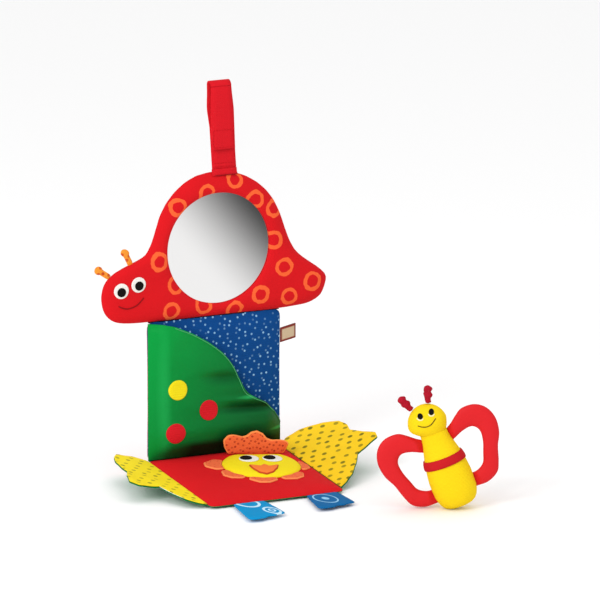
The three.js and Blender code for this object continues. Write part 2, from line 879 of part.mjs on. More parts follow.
// The wings' outlines: their reach out from the flap's side, and their place along it from the fold
const rightWingShares = [
  [0, -0.014],
  [0.137, 0.06],
  [0.363, 0.076],
  [0.66, 0.018],
  [0.848, -0.061],
  [0.88, -0.145],
  [0.827, -0.251],
  [0.9, -0.38],
  [1, -0.484],
  [0.97, -0.543],
  [0.735, -0.593],
  [0.587, -0.623],
  [0.457, -0.731],
  [0.289, -0.849],
  [0.117, -0.927],
  [0, -0.962],
];
const leftWingShares = [
  [0, -0.014],
  [0.16, 0.07],
  [0.38, 0.08],
  [0.475, 0.012],
  [0.545, -0.1],
  [0.575, -0.21],
  [0.59, -0.335],
  [0.71, -0.46],
  [0.78, -0.585],
  [0.7, -0.66],
  [0.53, -0.655],
  [0.385, -0.645],
  [0.325, -0.76],
  [0.24, -0.905],
  [0.115, -0.965],
  [0, -0.985],
];
const waveCountShare = 3.2;
const waveStartShare = 0.25;

function chickWing(hand, side, turn, shares) {
  const joint = new THREE.Group();
  joint.name = `${hand}_wing`;
  joint.position.set((side * gardenWidth) / 2, 0, 0);
  joint.rotation.z = -side * turn;
  const outline = straightOutline(shares, side * wingReach, wingLength);
  const moved = outline.map((p) => p.add(new THREE.Vector2(side * foldGap, 0)));
  const middle = new THREE.Vector2((side * wingReach) / 2, -wingLength / 2);
  const stack = wingCloth * 2 + crinkleFilm + seatGap * 2;
  const swell = (x, z) => {
    const out = Math.abs(x) / wingReach;
    const wave = Math.sin((z / wingLength) * waveCountShare * Math.PI);
    return wingWave * wave * smooth(out - waveStartShare) - stack / 2;
  };
  const bed = relief(wingReach * 2.4, wingLength * 1.3, 9, 8, swell);
  const placed = bed.translate(0, 0, middle.y);
  const film = inset(moved, middle, filmInset);
  const filmLift = wingCloth + seatGap;
  const topLift = filmLift + crinkleFilm + seatGap;
  const under = layerOn(placed, moved, 0, wingCloth);
  addPiece(joint, `${hand}_wing_underside`, under, greenCotton);
  addPiece(joint, `${hand}_wing_film`, layerOn(placed, film, filmLift, crinkleFilm), filmFinish);
  addPiece(joint, `${hand}_wing_top`, layerOn(placed, moved, topLift, wingCloth), yellowCotton);
  return joint;
}

// A foot's outline: its foot at the flap's front edge, and three toes at the far end
const footShares = [
  [-0.5, 0],
  [0.5, 0],
  [0.46, -0.45],
  [0.4, -0.86],
  [0.12, -0.88],
  [0.02, -0.94],
  [-0.2, -0.91],
  [-0.34, -0.98],
  [-0.62, -1],
  [-0.88, -0.96],
  [-0.7, -0.5],
];

function chickFoot(hand, x, length, finish) {
  const joint = new THREE.Group();
  joint.name = `${hand}_foot`;
  joint.position.set(x, 0, -foldGap - flapLength);
  joint.rotation.x = flapSlope - quarterTurn + (quarterTurn - footSlope) - 2 * flapSlope;
  const outline = straightOutline(footShares, footWidth, length);
  const moved = outline.map((p) => p.add(new THREE.Vector2(0, -foldGap)));
  const centre = new THREE.Vector2(-footWidth * 0.12, -length / 2);
  addPiece(joint, joint.name, stuffedTab(moved, centre, footThick), finish);
  return joint;
}

// The butterfly's stuffed body, in shares of its radius and length from its seat to its neck
const bodyShares = [
  [0, 0],
  [0.5, 0.02],
  [0.78, 0.08],
  [0.93, 0.17],
  [1, 0.32],
  [1, 0.47],
  [0.92, 0.62],
  [0.78, 0.76],
  [0.64, 0.88],
  [0.58, 1],
];
const depthShare = 0.8;
const neckRoom = 12;

function bodyForm(shrink, above) {
  const profile = bodyShares.map(([r, z]) => {
    const radius = Math.max(r * bodyRadius - (r ? shrink : 0), 0);
    return new THREE.Vector2(radius, z ? z * bodyLength : shrink);
  });
  const neck = profile[profile.length - 1];
  profile.push(new THREE.Vector2(neck.x, neck.y + above), new THREE.Vector2(0, neck.y + above));
  const geometry = new THREE.LatheGeometry(profile, 16);
  geometry.rotateX(quarterTurn);
  geometry.scale(1, depthShare, 1);
  return toSolid(geometry);
}

function bodySideAt(z) {
  const share = z / bodyLength;
  const next = bodyShares.findIndex((row) => row[1] >= share);
  const [low, high] = [bodyShares[next - 1], bodyShares[next]];
  const part = (share - low[1]) / (high[1] - low[1]);
  return bodyRadius * THREE.MathUtils.lerp(low[0], high[0], part);
}

function band(low, high) {
  const wide = bodyRadius * 3;
  const geometry = new THREE.BoxGeometry(wide, wide, high - low);
  geometry.translate(0, 0, (low + high) / 2);
  return toSolid(geometry);
}

// A ring wing's outer and inner edges, in shares of its reach and height, each from top to foot
const ringOuterShares = [
  [0.31, 0.87],
  [0.41, 0.935],
  [0.55, 1],
  [0.76, 0.99],
  [0.92, 0.895],
  [0.995, 0.735],
  [0.97, 0.55],
  [0.875, 0.39],
  [0.8, 0.205],
  [0.72, 0.08],
  [0.54, 0.006],
];
const ringInnerShares = [
  [0.44, 0.19],
  [0.555, 0.253],
  [0.615, 0.37],
  [0.68, 0.52],
  [0.69, 0.655],
  [0.6, 0.735],
  [0.44, 0.722],
];
const ringSeatShares = [0, 0.18, 0.655, 0.82];

function ringWing(hand, side) {
  const joint = new THREE.Group();
  joint.name = `butterfly_${hand}_wing`;
  const foot = side < 0 ? ringBottom - leftRingDrop : ringBottom;
  const heightOf = (share) => foot + share * ringHeight;
  const seat = ringSeatShares.map((share) => {
    return new THREE.Vector2(bodySideAt(heightOf(share)) + foldGap, heightOf(share));
  });
  const through = (shares) => shares.map(([x, z]) => new THREE.Vector2(x * ringReach, heightOf(z)));
  const edge = (first, shares, last, count) =>
    new THREE.SplineCurve([first, ...through(shares), last]).getPoints(count);
  const outline = [
    ...edge(seat[3], ringOuterShares, seat[0], 22),
    ...edge(seat[1], ringInnerShares, seat[2], 14),
  ];
  const geometry = new THREE.ExtrudeGeometry(new THREE.Shape(outline), {
    depth: ringThick - ringBevel * 2,
    bevelThickness: ringBevel,
    bevelSize: ringBevel,
    bevelOffset: -ringBevel,
    bevelSegments: 2,
    curveSegments: 1,
  });
  geometry.translate(0, 0, ringBevel - ringThick / 2);
  geometry.rotateX(quarterTurn);
  const position = geometry.getAttribute("position");
  for (let i = 0; i < position.count; i++) {
    const out = position.getX(i) - bodySideAt(Math.min(position.getZ(i), bodyLength));
    const thin = seamHalf / (ringThick / 2);
    const taper = THREE.MathUtils.clamp(thin + (out - foldGap) / pinchRun, thin, 1);
    position.setXYZ(i, position.getX(i), position.getY(i) * taper, position.getZ(i));
  }
  const solid = toSolid(geometry);
  addPiece(joint, joint.name, side < 0 ? solid.mirror([1, 0, 0]) : solid, redRubber);
  return joint;
}

// A cord tied in knots, in shares of its knots' radius and of its length
const knotShares = [
  [0, 0],
  [0.25, 0],
  [0.66, 0.07],
  [0.68, 0.26],
  [0.93, 0.4],
  [0.98, 0.54],
  [0.8, 0.65],
  [1, 0.78],
  [0.82, 0.93],
  [0, 1],
];
const knotSeats = [-0.51, 0.38];
const knotTurns = [-0.41, 0.33];

function knottedFeeler(hand, i) {
  const joint = new THREE.Group();
  joint.name = `butterfly_${hand}_antenna`;
  const seat = knotSeats[i];
  joint.position.set(Math.sin(seat) * headRadius, 0, Math.cos(seat) * headRadius);
  joint.rotation.y = knotTurns[i];
  const profile = knotShares.map(([r, z]) => new THREE.Vector2(r * knotRadius, z * knotLength));
  const geometry = new THREE.LatheGeometry(profile, 8);
  geometry.rotateX(quarterTurn);
  geometry.translate(0, 0, foldGap);
  addPiece(joint, joint.name, toSolid(geometry), redCord);
  return joint;
}

const butterflyEyeShares = [
  [-0.18, 0.62],
  [0.42, 0.62],
];
const headCentreX = -2.2;

function butterfly() {
  const toy = new THREE.Group();
  toy.name = "butterfly";
  const outside = bodyForm(0, 0);
  const inside = bodyForm(bodyCloth, neckRoom);
  addPiece(toy, "butterfly_body", outside.subtract(inside), yellowCotton);
  const boreGeometry = new THREE.CylinderGeometry(
    capsuleRadius + seatGap,
    capsuleRadius + seatGap,
    bodyLength,
    16,
  );
  boreGeometry.rotateX(quarterTurn);
  boreGeometry.translate(0, 0, capsuleHeight - capsuleRadius - seatGap + bodyLength / 2);
  const fill = bodyForm(bodyCloth + seatGap, 0).subtract(toSolid(boreGeometry));
  addPiece(toy, "butterfly_stuffing", fill, wadding);
  const capsule = new THREE.SphereGeometry(capsuleRadius, 14, 9);
  capsule.rotateX(quarterTurn);
  capsule.translate(0, 0, capsuleHeight);
  addPiece(toy, "rattle_capsule", toSolid(capsule), capsuleFinish);
  const loose = bodyForm(-seatGap / depthShare, 0);
  const girdle = bodyForm(-seatGap / depthShare - beltThick, 0).subtract(loose);
  const belt = girdle.intersect(band(beltHeight, beltHeight + beltWidth));
  addPiece(toy, "butterfly_belt", belt, redCotton);
  const headZ = bodyLength + headLift;
  const ball = new THREE.SphereGeometry(headRadius, 16, 10);
  ball.rotateX(quarterTurn);
  ball.scale(1, depthShare, 1);
  ball.translate(headCentreX, 0, headZ);
  const round = toSolid(ball);
  const neck = bodyLength + seatGap;
  const head = round.intersect(band(neck, headZ + headRadius * 2));
  addPiece(toy, "butterfly_head", head, yellowCotton);
  ["left", "right"].forEach((hand, i) => {
    const x = headCentreX + butterflyEyeShares[i][0] * headRadius;
    const z = headZ + butterflyEyeShares[i][1] * headRadius;
    const eye = layerOn(round, circleOutline(x, z, butterflyEyeRadius, 12), seatGap, feltThick);
    addPiece(toy, `butterfly_${hand}_eye`, eye, blackFelt);
    toy.add(ringWing(hand, i ? 1 : -1));
    const feelerJoint = knottedFeeler(hand, i);
    feelerJoint.position.add(new THREE.Vector3(headCentreX, 0, headZ));
    toy.add(feelerJoint);
  });
  return toy;
}

// The toy as it hangs, each piece carried by the one above it
const foldHeight = foldGap + gardenLength;
const strapFoot = foldHeight + creatureHeight + foldGap;

const strap = new THREE.Group();
strap.name = "strap";
strap.position.set(strapCentreX, 0, strapFoot);
addPiece(strap, "strap_band", strapBand(), redCotton);
addPiece(strap, "loop_patch", strapPatch(tapeOffset), hookTape);

const tail = new THREE.Group();
tail.name = "strap_end";
addPiece(tail, "strap_end", strapTail(), redCotton);
addPiece(tail, "hook_patch", strapPatch(hookOffset), hookTape);
strap.add(tail);

const flap = floorFlap();
flap.position.z = -foldHeight;
flap.rotation.x = flapSlope - quarterTurn;
flap.add(chickComb());
flap.add(chickWing("left", -1, leftWingTurn, leftWingShares));
flap.add(chickWing("right", 1, rightWingTurn, rightWingShares));
flap.add(chickFoot("left", leftFootX, footLength, turquoiseCotton));
flap.add(chickFoot("right", rightFootX, rightFootLength, deepBlueCotton));

const garden = gardenPanel();
garden.add(sideLabel());
garden.add(flap);

const creature = mirrorPanel();
creature.position.z = foldHeight;
creature.add(creatureFeeler("left", 0));
creature.add(creatureFeeler("right", 1));
creature.add(garden);

const toy = new THREE.Group();
toy.add(strap, creature);
const floor = new THREE.Box3().setFromObject(toy, true).min.z;

const rattle = butterfly();
rattle.rotation.order = "ZYX";
rattle.rotation.z = butterflyTurn;
rattle.rotation.y = -butterflyTilt;
rattle.position.set(butterflyX, butterflyY, 0);
rattle.position.z = floor - new THREE.Box3().setFromObject(rattle, true).min.z;
toy.add(rattle);

// The origin is where the rail bears on the loop
const loopTop = bendHeight + bendRadius - strapThick / 2;
toy.position.set(loopTop * strapLean - strapCentreX, 0, -strapFoot - loopTop);
const group = new THREE.Group();
group.add(toy);

export default group;
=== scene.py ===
import json
import math

import bpy
import numpy as np
from mathutils import Matrix, Vector, noise
from mathutils.bvhtree import BVHTree


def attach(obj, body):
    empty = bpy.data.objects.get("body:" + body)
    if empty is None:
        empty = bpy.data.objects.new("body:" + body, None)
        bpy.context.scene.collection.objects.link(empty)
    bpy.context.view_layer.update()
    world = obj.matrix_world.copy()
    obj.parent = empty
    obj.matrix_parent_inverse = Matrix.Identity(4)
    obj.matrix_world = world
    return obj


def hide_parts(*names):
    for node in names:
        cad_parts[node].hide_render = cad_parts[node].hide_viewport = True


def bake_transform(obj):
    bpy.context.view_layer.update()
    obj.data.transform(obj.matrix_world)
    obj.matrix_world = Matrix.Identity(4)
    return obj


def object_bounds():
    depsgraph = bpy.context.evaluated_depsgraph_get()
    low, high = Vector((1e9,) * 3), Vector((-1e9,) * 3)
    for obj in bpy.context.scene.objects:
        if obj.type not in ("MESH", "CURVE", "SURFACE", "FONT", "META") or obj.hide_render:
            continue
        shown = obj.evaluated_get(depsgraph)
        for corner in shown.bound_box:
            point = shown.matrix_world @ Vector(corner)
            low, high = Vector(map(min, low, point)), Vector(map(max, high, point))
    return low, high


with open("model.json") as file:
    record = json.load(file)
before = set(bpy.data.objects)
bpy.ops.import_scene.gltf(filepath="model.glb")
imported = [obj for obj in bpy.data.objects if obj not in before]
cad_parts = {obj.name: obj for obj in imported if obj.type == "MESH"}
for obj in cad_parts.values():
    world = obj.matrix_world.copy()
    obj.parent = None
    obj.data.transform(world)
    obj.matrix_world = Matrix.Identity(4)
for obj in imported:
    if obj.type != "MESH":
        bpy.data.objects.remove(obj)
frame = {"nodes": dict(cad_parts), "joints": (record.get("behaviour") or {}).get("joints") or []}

cad_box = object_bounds()

# ---------------------------------------------------------------- camera
# A long lens from the front left and a little above, as in the photograph. One pixel of its
# 600 pixel frame is 1.02 mm on the hanging panels.
pixel, frame_width = 0.00102, 0.612
lens, sensor = 500, 36
azimuth, elevation = math.radians(-26.1), math.radians(12.9)
right = Vector((math.cos(azimuth), math.sin(azimuth), 0))
back = Vector((math.sin(azimuth) * math.cos(elevation),
               -math.cos(azimuth) * math.cos(elevation), math.sin(elevation)))
up = back.cross(right)
panel_x = -0.0816
panel_corner = Vector((panel_x, 0, -0.3882))
target = panel_corner + right * (152.5 * pixel) + up * (161.5 * pixel)
bpy.ops.object.camera_add()
camera = bpy.context.object
camera.name = "camera"
camera.data.lens = lens
camera.data.sensor_width = sensor
camera.data.clip_end = 60
distance = frame_width * lens / sensor
camera.matrix_world = Matrix.Translation(target + back * distance) @ Matrix(
    (right, up, back)).transposed().to_4x4()
bpy.context.scene.camera = camera


# ---------------------------------------------------------------- studio
# A pale floor just under the toy, in soft white light from all round. One lamp at the left adds
# to it, and a weaker one from above.
def new_paint(name, values):
    """A new material and its node tree, with the shader's inputs set."""
    paint = bpy.data.materials.new(name)
    paint.use_nodes = True
    for label, value in values.items():
        paint.node_tree.nodes["Principled BSDF"].inputs[label].default_value = value
    return paint, paint.node_tree


scene = bpy.context.scene
scene.view_settings.view_transform = "Standard"
floor_z = cad_box[0][2] - 0.0006
bpy.ops.mesh.primitive_plane_add(size=30, location=(0, 6, floor_z))
floor = bpy.context.object
floor.name = "floor"
floor.data.materials.append(
    new_paint("floor_paint", {"Base Color": (0.96, 0.96, 0.96, 1), "Roughness": 0.9})[0])
for name, place, aim, size, power in (
        ("top_light", (0.1, -0.3, 1.6), (0, -0.1, -0.3), 1.6, 3),
        ("left_light", (-1.9, -1.2, 0.9), (0, -0.1, -0.25), 0.9, 24)):
    bpy.ops.object.light_add(type="AREA", location=place)
    lamp = bpy.context.object
    lamp.name = name
    lamp.data.size = size
    lamp.data.energy = power
    lamp.rotation_euler = (Vector(aim) - Vector(place)).to_track_quat("-Z", "Y").to_euler()
world = bpy.data.worlds.new("studio") if scene.world is None else scene.world
scene.world = world
world.use_nodes = True
world.node_tree.nodes["Background"].inputs["Color"].default_value = (1, 1, 1, 1)
world.node_tree.nodes["Background"].inputs["Strength"].default_value = 0.95


# ---------------------------------------------------------------- creature, the mirror panel
# A padded cotton panel in the shape of a crawling creature, red with printed orange rings. Its
# front cover has a round window whose edge turns in over the mirror. Its back is a red cushion.
def put(tree, kind, sockets=(), **settings):
    """A shader node with its settings. Each socket takes a value, or a link from an output."""
    node = tree.nodes.new("ShaderNode" + kind)
    for key, value in settings.items():
        setattr(node, key, value)
    for key, value in dict(sockets).items():
        if isinstance(value, bpy.types.NodeSocket):
            tree.links.new(value, node.inputs[key])
        else:
            node.inputs[key].default_value = value
    return node


def calc(tree, operation, *values, **settings):
    return put(tree, "Math", enumerate(values), operation=operation, **settings).outputs[0]


def most(tree, values):
    """The highest of several shader values."""
    top = values[0]
    for value in values[1:]:
        top = calc(tree, "MAXIMUM", top, value)
    return top


def where(tree):
    return put(tree, "TexCoord").outputs["Object"]


def node_group(name, inputs, outputs):
    """A shader group with its sockets, and the nodes that open and close it."""
    group = bpy.data.node_groups.new(name, "ShaderNodeTree")
    for label, kind, value in inputs:
        group.interface.new_socket(
            label, in_out="INPUT", socket_type="NodeSocket" + kind).default_value = value
    for label, kind in outputs:
        group.interface.new_socket(label, in_out="OUTPUT", socket_type="NodeSocket" + kind)
    return group, group.nodes.new("NodeGroupInput"), group.nodes.new("NodeGroupOutput")


weave, weave_in, weave_out = node_group(
    "weave", (("Color", "Color", (1, 1, 1, 1)), ("Thread", "Float", 2600.0), ("Relief", "Float", 0.25),
              ("Drift", "Float", 0.12)), (("Color", "Color"), ("Normal", "Vector")))
spot = where(weave)
parts = put(weave, "SeparateXYZ", {0: spot})
waves = [calc(weave, "SINE", calc(weave, "MULTIPLY", parts.outputs[axis], weave_in.outputs["Thread"]))
         for axis in (0, 1, 2)]
crossing = calc(weave, "MULTIPLY", calc(weave, "ADD", waves[0], waves[1]), waves[2])
fibre = put(weave, "TexNoise", {"Scale": 900, "Detail": 3, "Vector": spot}).outputs["Fac"]
cloud = put(weave, "TexNoise", {"Scale": 38, "Detail": 4, "Vector": spot}).outputs["Fac"]
nap = calc(weave, "ADD", calc(weave, "MULTIPLY", crossing, 0.35), fibre)
bump = put(weave, "Bump", {"Distance": 0.0006, "Strength": weave_in.outputs["Relief"], "Height": nap})
shade = calc(weave, "MULTIPLY_ADD", calc(weave, "SUBTRACT", cloud, 0.5), weave_in.outputs["Drift"], 1.0)
shade = calc(weave, "MULTIPLY_ADD", calc(weave, "SUBTRACT", fibre, 0.5), weave_in.outputs["Drift"], shade)
tint = put(weave, "VectorMath", operation="SCALE")
weave.links.new(weave_in.outputs["Color"], tint.inputs[0])
weave.links.new(shade, tint.inputs["Scale"])
weave.links.new(tint.outputs[0], weave_out.inputs["Color"])
weave.links.new(bump.outputs[0], weave_out.inputs["Normal"])


def linear(colour):
    """The shader's linear value of an sRGB hex colour."""
    parts = [int(colour[i:i + 2], 16) / 255 for i in (0, 2, 4)]
    return tuple(c / 12.92 if c <= 0.04045 else ((c + 0.055) / 1.055) ** 2.4 for c in parts) + (1,)


def woven(name, colour, rough, specular, thread=2600.0, relief=0.25, drift=0.12):
    """A material whose colour and fine relief come through the weave."""
    paint, tree = new_paint(name, {"Roughness": rough, "Specular IOR Level": specular})
    grain = put(tree, "Group", {"Color": linear(colour), "Thread": thread, "Relief": relief,
                                "Drift": drift}, node_tree=weave, name="weave")
    shader = tree.nodes["Principled BSDF"]
    tree.links.new(grain.outputs["Color"], shader.inputs["Base Color"])
    tree.links.new(grain.outputs["Normal"], shader.inputs["Normal"])
    return paint


def cloth(name, colour, rough=0.85, sheen=0.05, **weaving):
    paint = woven(name, colour, rough, 0.12, **weaving)
    shader = paint.node_tree.nodes["Principled BSDF"]
    shader.inputs["Sheen Weight"].default_value = sheen
    shader.inputs["Sheen Tint"].default_value = linear(colour)
    return paint


def lay_colour(paint, factor, laid_colour):
    """Lays a colour over what a cloth's colour is so far: printed ink on most cloths, painted shade and
    painted highlights on the satin.
    """
    tree = paint.node_tree
    socket = tree.nodes["weave"].inputs["Color"]
    under = socket.links[0].from_socket if socket.is_linked else tuple(socket.default_value)
    mix = put(tree, "Mix", {0: factor, 6: under, 7: linear(laid_colour)}, data_type="RGBA")
    tree.links.new(mix.outputs[2], socket)
    return paint


def ring_marks(tree, position, sharp, rings):
    """Ink rings, each with a centre, a radius and how strong its line is."""
    marks = []
    for middle, radius, line in rings:
        gap = put(tree, "VectorMath", {0: position, 1: middle}, operation="DISTANCE")
        off = calc(tree, "ABSOLUTE", calc(tree, "SUBTRACT", gap.outputs["Value"], radius))
        marks.append(calc(tree, "MULTIPLY_ADD", off, -sharp, line))
    return most(tree, marks)


ring_ink = woven("red_ring_print", "CC1119", 0.85, 0.12)
tree = ring_ink.node_tree
spot = where(tree)
wobble = put(tree, "TexNoise", {"Scale": 75, "Vector": spot})
shifted = put(tree, "VectorMath", {0: wobble.outputs["Color"], 1: (0.0034, 0, 0.0034), 2: spot},
              operation="MULTIPLY_ADD")
sided = put(tree, "VectorMath", {0: shifted.outputs[0], 1: (1, 0, 1)}, operation="MULTIPLY")
pressed = put(tree, "TexNoise", {"Scale": 210, "Vector": spot})
line = calc(tree, "MULTIPLY_ADD", pressed.outputs["Fac"], 6.4, 2.6)
ring_radius, fold_z = 0.0079, 0.2423
lay_colour(ring_ink, ring_marks(tree, sided.outputs[0], 2700.0, [
    ((x * pixel + panel_x - 0.0011, 0, z * pixel - fold_z + 0.0023), ring_radius * size, line)
    for x, z, size in ((34.8, 113.9, 1), (67, 125.2, 1), (97.9, 136.8, 0.95), (119.7, 114.4, 1.05),
                       (141.5, 103.1, 1), (140.6, 71.1, 1), (151.6, 42.5, 1), (183.3, 24.7, 1.05),
                       (125.7, 16.8, 1), (157.5, 11.7, 0.95), (97.9, 3.4, 0.95), (63, 12, 1),
                       (26.8, 9.3, 1), (32.3, 35.6, 1), (13.4, 61, 1))]), "EC6030")
red_cotton = cloth("red_cotton", "CC1119")

joint = {j["name"]: j for j in frame["joints"]}
at_joint = lambda name: Matrix.Translation(Vector(joint[name]["pos_m"]))
panel_place = at_joint("garden_fold")


def rim(node, place, count, centre=None, soften=1):
    """The outline of a CAD node in a plane, as points at even turns round a centre."""
    mesh, inverse = frame["nodes"][node].data, place.inverted()
    flat = np.array([(inverse @ v.co).xz for v in mesh.vertices])
    ends = np.array([e.vertices[:] for e in mesh.edges])
    centre = np.array((flat.min(0) + flat.max(0)) / 2 if centre is None else centre)
    start, along = flat[ends[:, 0]] - centre, flat[ends[:, 1]] - flat[ends[:, 0]]
    points = []
    for k in range(count):
        angle = 2 * math.pi * k / count
        ray = np.array((math.cos(angle), math.sin(angle)))
        divisor = ray[0] * along[:, 1] - ray[1] * along[:, 0]
        safe = np.where(np.abs(divisor) < 1e-12, 1e-12, divisor)
        reach = (start[:, 0] * along[:, 1] - start[:, 1] * along[:, 0]) / safe
        part = (start[:, 0] * ray[1] - start[:, 1] * ray[0]) / safe
        hits = reach[(np.abs(divisor) > 1e-12) & (part >= -1e-6) & (part <= 1 + 1e-6) & (reach > 0)]
        points.append(centre + ray * hits.max())
    points = np.array(points)
    for _ in range(soften):
        points = (points * 2 + np.roll(points, 1, 0) + np.roll(points, -1, 0)) / 4
    return points, centre


def dress(name, points, faces, body, paint, replaced=(), smooth=True):
    """A piece of the scene from its points and faces, in its cloth and on its body."""
    mesh = bpy.data.meshes.new(name)
    mesh.from_pydata([tuple(p) for p in points], [], faces)
    mesh.update()
    piece = bpy.data.objects.new(name, mesh)
    scene.collection.objects.link(piece)
    if smooth:
        bpy.context.view_layer.objects.active = piece
        bpy.ops.object.select_all(action="DESELECT")
        piece.select_set(True)
        bpy.ops.object.mode_set(mode="EDIT")
        bpy.ops.mesh.select_all(action="SELECT")
        bpy.ops.mesh.normals_make_consistent(inside=False)
        bpy.ops.object.mode_set(mode="OBJECT")
        bpy.ops.object.shade_smooth()
    piece.data.materials.append(paint)
    if body:
        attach(piece, body)
    if replaced:
        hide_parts(*replaced)
    return piece


def solid(name, rings, body, paint, replaced=(), ends=None):
    """A closed piece through rings of points, with a pole at each end or closed on itself."""
    count = len(rings[0])
    points = [p for ring in rings for p in ring]
    faces = []
    for r in range(len(rings) - 1 if ends else len(rings)):
        near, far = r * count, (r + 1) % len(rings) * count
        for i in range(count):
            j = (i + 1) % count
            faces.append((near + i, near + j, far + j, far + i))
    if ends:
        first, last = len(points), (len(rings) - 1) * count
        points += ends
        for i in range(count):
            j = (i + 1) % count
            faces.append((first, j, i))
            faces.append((first + 1, last + i, last + j))
    return dress(name, points, faces, body, paint, replaced)


def rows(outline, centre, shares, hole=0.0):
    """Rings from an outline to its centre or a round hole: each point, its run and what is left."""
    out = []
    for share in shares:
        ring = []
        for p in outline:
            spoke = centre - p
            length = np.linalg.norm(spoke)
            run = share * (length - hole)
            ring.append((p + spoke / length * run, run, length - hole - run))
        out.append(ring)
    return out


def lay(place, p, height):
    return place @ Vector((p[0], -height, p[1]))


def raised(place, shape, height):
    """The points of rows, each lifted off the place's plane as its point and run say."""
    return [[lay(place, p, height(p, run, left)) for p, run, left in row] for row in shape]


def pucker(p, run, depth=0.0004, reach=0.007):
    """The small gathers that sewing leaves beside a seam."""
    grain = noise.noise(Vector((p[0] * 150, p[1] * 150, 3.1))) + 0.6 * noise.noise(
        Vector((p[0] * 330, 9, p[1] * 330)))
    return depth * grain * math.exp(-run / reach)


def swell(run, crown, soft=0.0062, edge=0.0006):
    """How padding rises from its sewn edge."""
    return edge + (crown - edge) * (1 - math.exp(-run / soft))


def by_fold(gap):
    """A padded panel thins toward its fold, so that it can close there."""
    return 0.35 + 0.65 * min(abs(gap) / 0.012, 1)


def ridge(value, centre, spread):
    return math.exp(-((value - centre) / spread) ** 2)


spoke_shares = [0, 0.012, 0.03, 0.055, 0.09, 0.13, 0.18, 0.25, 0.33, 0.42, 0.52, 0.63, 0.75, 0.87, 0.96]
window, mirror_room = 0.0575, 0.0619
window_centre = np.array((0.0046, 0.07))
tail_from = 0.085
outline, centre = rim("mirror_front_cover", panel_place, 240, window_centre, 3)
for p in outline:
    if p[0] > tail_from and p[1] < 0.04:
        fuller = 0.0056 * ridge(p[1], 0.006, 0.012) + 0.0036 * ridge(p[1], 0.028, 0.009)
        p[0] += fuller * min((p[0] - tail_from) / 0.012, 1)
front_rows = rows(outline, centre, spoke_shares + [0.99, 1], window)
rings = raised(panel_place, front_rows[:1], lambda p, run, left: 0.0001)
rings += raised(panel_place, front_rows, lambda p, run, left: swell(run, 0.0072) * (
    1 - 0.6 * math.exp(-left / 0.0022)) + pucker(p, run))
unit = [(p - centre) / np.linalg.norm(p - centre) for p, run, left in front_rows[0]]
for radius, lift in ((window, 0.0018), (mirror_room, 0.0018), (mirror_room, 0.0001)):
    rings.append([lay(panel_place, centre + u * radius, lift) for u in unit])
creature_front = solid("creature_front", rings, "mirror_panel", ring_ink,
                       ["mirror_front_cover", "mirror_wadding"])

back_crown, back_cloth = 0.0054, 0.001
back_rise = lambda p, run: swell(run, back_crown, 0.008) * by_fold(p[1])
back_rows = rows(outline, centre, spoke_shares)
outer = raised(panel_place, back_rows, lambda p, run, left: -back_rise(p, run) - pucker(p, run) * 0.6)
seam = raised(panel_place, back_rows[:1], lambda p, run, left: -0.0001)
inner = raised(panel_place, rows(outline, centre, [0.02, 0.06, 0.13, 0.25, 0.42, 0.63, 0.9]),
               lambda p, run, left: -max(back_rise(p, run) - back_cloth, 0.0002))
creature_back = solid("creature_back", outer[::-1] + seam + inner, "mirror_panel", red_cotton,
                      ["mirror_back_cover"],
                      [lay(panel_place, centre, -back_crown), lay(panel_place, centre, -0.0044)])

# ---------------------------------------------------------------- mirror and board
# The mirror is silvered acrylic, hardly rough, on a grey board. A graded card to the front right,
# seen by reflections alone, gives it the fall from dark grey to near white of the photograph.
silver, tree = new_paint("silvered_acrylic", {"Base Color": (0.94, 0.94, 0.94, 1), "Metallic": 1})
smear = put(tree, "TexNoise", {"Scale": 26, "Vector": where(tree)})
ramp = put(tree, "MapRange", {"Value": smear.outputs["Fac"], "To Min": 0.05, "To Max": 0.12})
tree.links.new(ramp.outputs[0], tree.nodes["Principled BSDF"].inputs["Roughness"])


def repaint(node, paint):
    """Gives its own paint to a CAD node that keeps its form."""
    frame["nodes"][node].data.materials.clear()
    frame["nodes"][node].data.materials.append(paint)


repaint("mirror_disc", silver)
repaint("mirror_board", cloth("greyboard", "8A6B48", rough=0.9, relief=0.3))

mirrored = Vector((-back.x, back.y, -back.z))
card_middle = lay(panel_place, window_centre, 0.0014) + mirrored * 0.15
bpy.ops.mesh.primitive_plane_add(size=0.22, location=card_middle)
card = bpy.context.object
card.name = "graded_card"
card.rotation_euler = (-mirrored).to_track_quat("Z", "Y").to_euler()
card_paint, tree = new_paint("graded_card", {})
tree.nodes.remove(tree.nodes["Principled BSDF"])
slant = put(tree, "VectorMath", {0: where(tree), 1: (-0.75, 0.66, 0)}, operation="DOT_PRODUCT")
fade = put(tree, "MapRange", {"Value": slant.outputs["Value"], "From Min": -0.03, "From Max": 0.065,
                              "To Min": 0.93, "To Max": 0.05}, interpolation_type="SMOOTHSTEP")
glow = put(tree, "Emission", {"Strength": fade.outputs[0], "Color": (1, 0.99, 0.985, 1)})
tree.links.new(glow.outputs[0], tree.nodes["Material Output"].inputs["Surface"])
card.data.materials.append(card_paint)
card.visible_camera = False
card.visible_diffuse = False
card.visible_shadow = False
card.visible_transmission = False


# ---------------------------------------------------------------- creature's face
# Eyes of white and black felt, sewn on, and a smile in one thin line of satin stitch. Each follows
# the padded surface that it lies on, with a soft edge.
def surface_of(piece):
    """A function that gives the height of a piece's front over a place's plane."""
    mesh = piece.data
    tree = BVHTree.FromPolygons([v.co for v in mesh.vertices], [p.vertices for p in mesh.polygons])

    def height(place, p):
        direction = (place.to_3x3() @ Vector((0, 1, 0))).normalized()
        hit = tree.ray_cast(lay(place, p, 0.08), direction)[0]
        return None if hit is None else -(place.inverted() @ hit).y
    return height


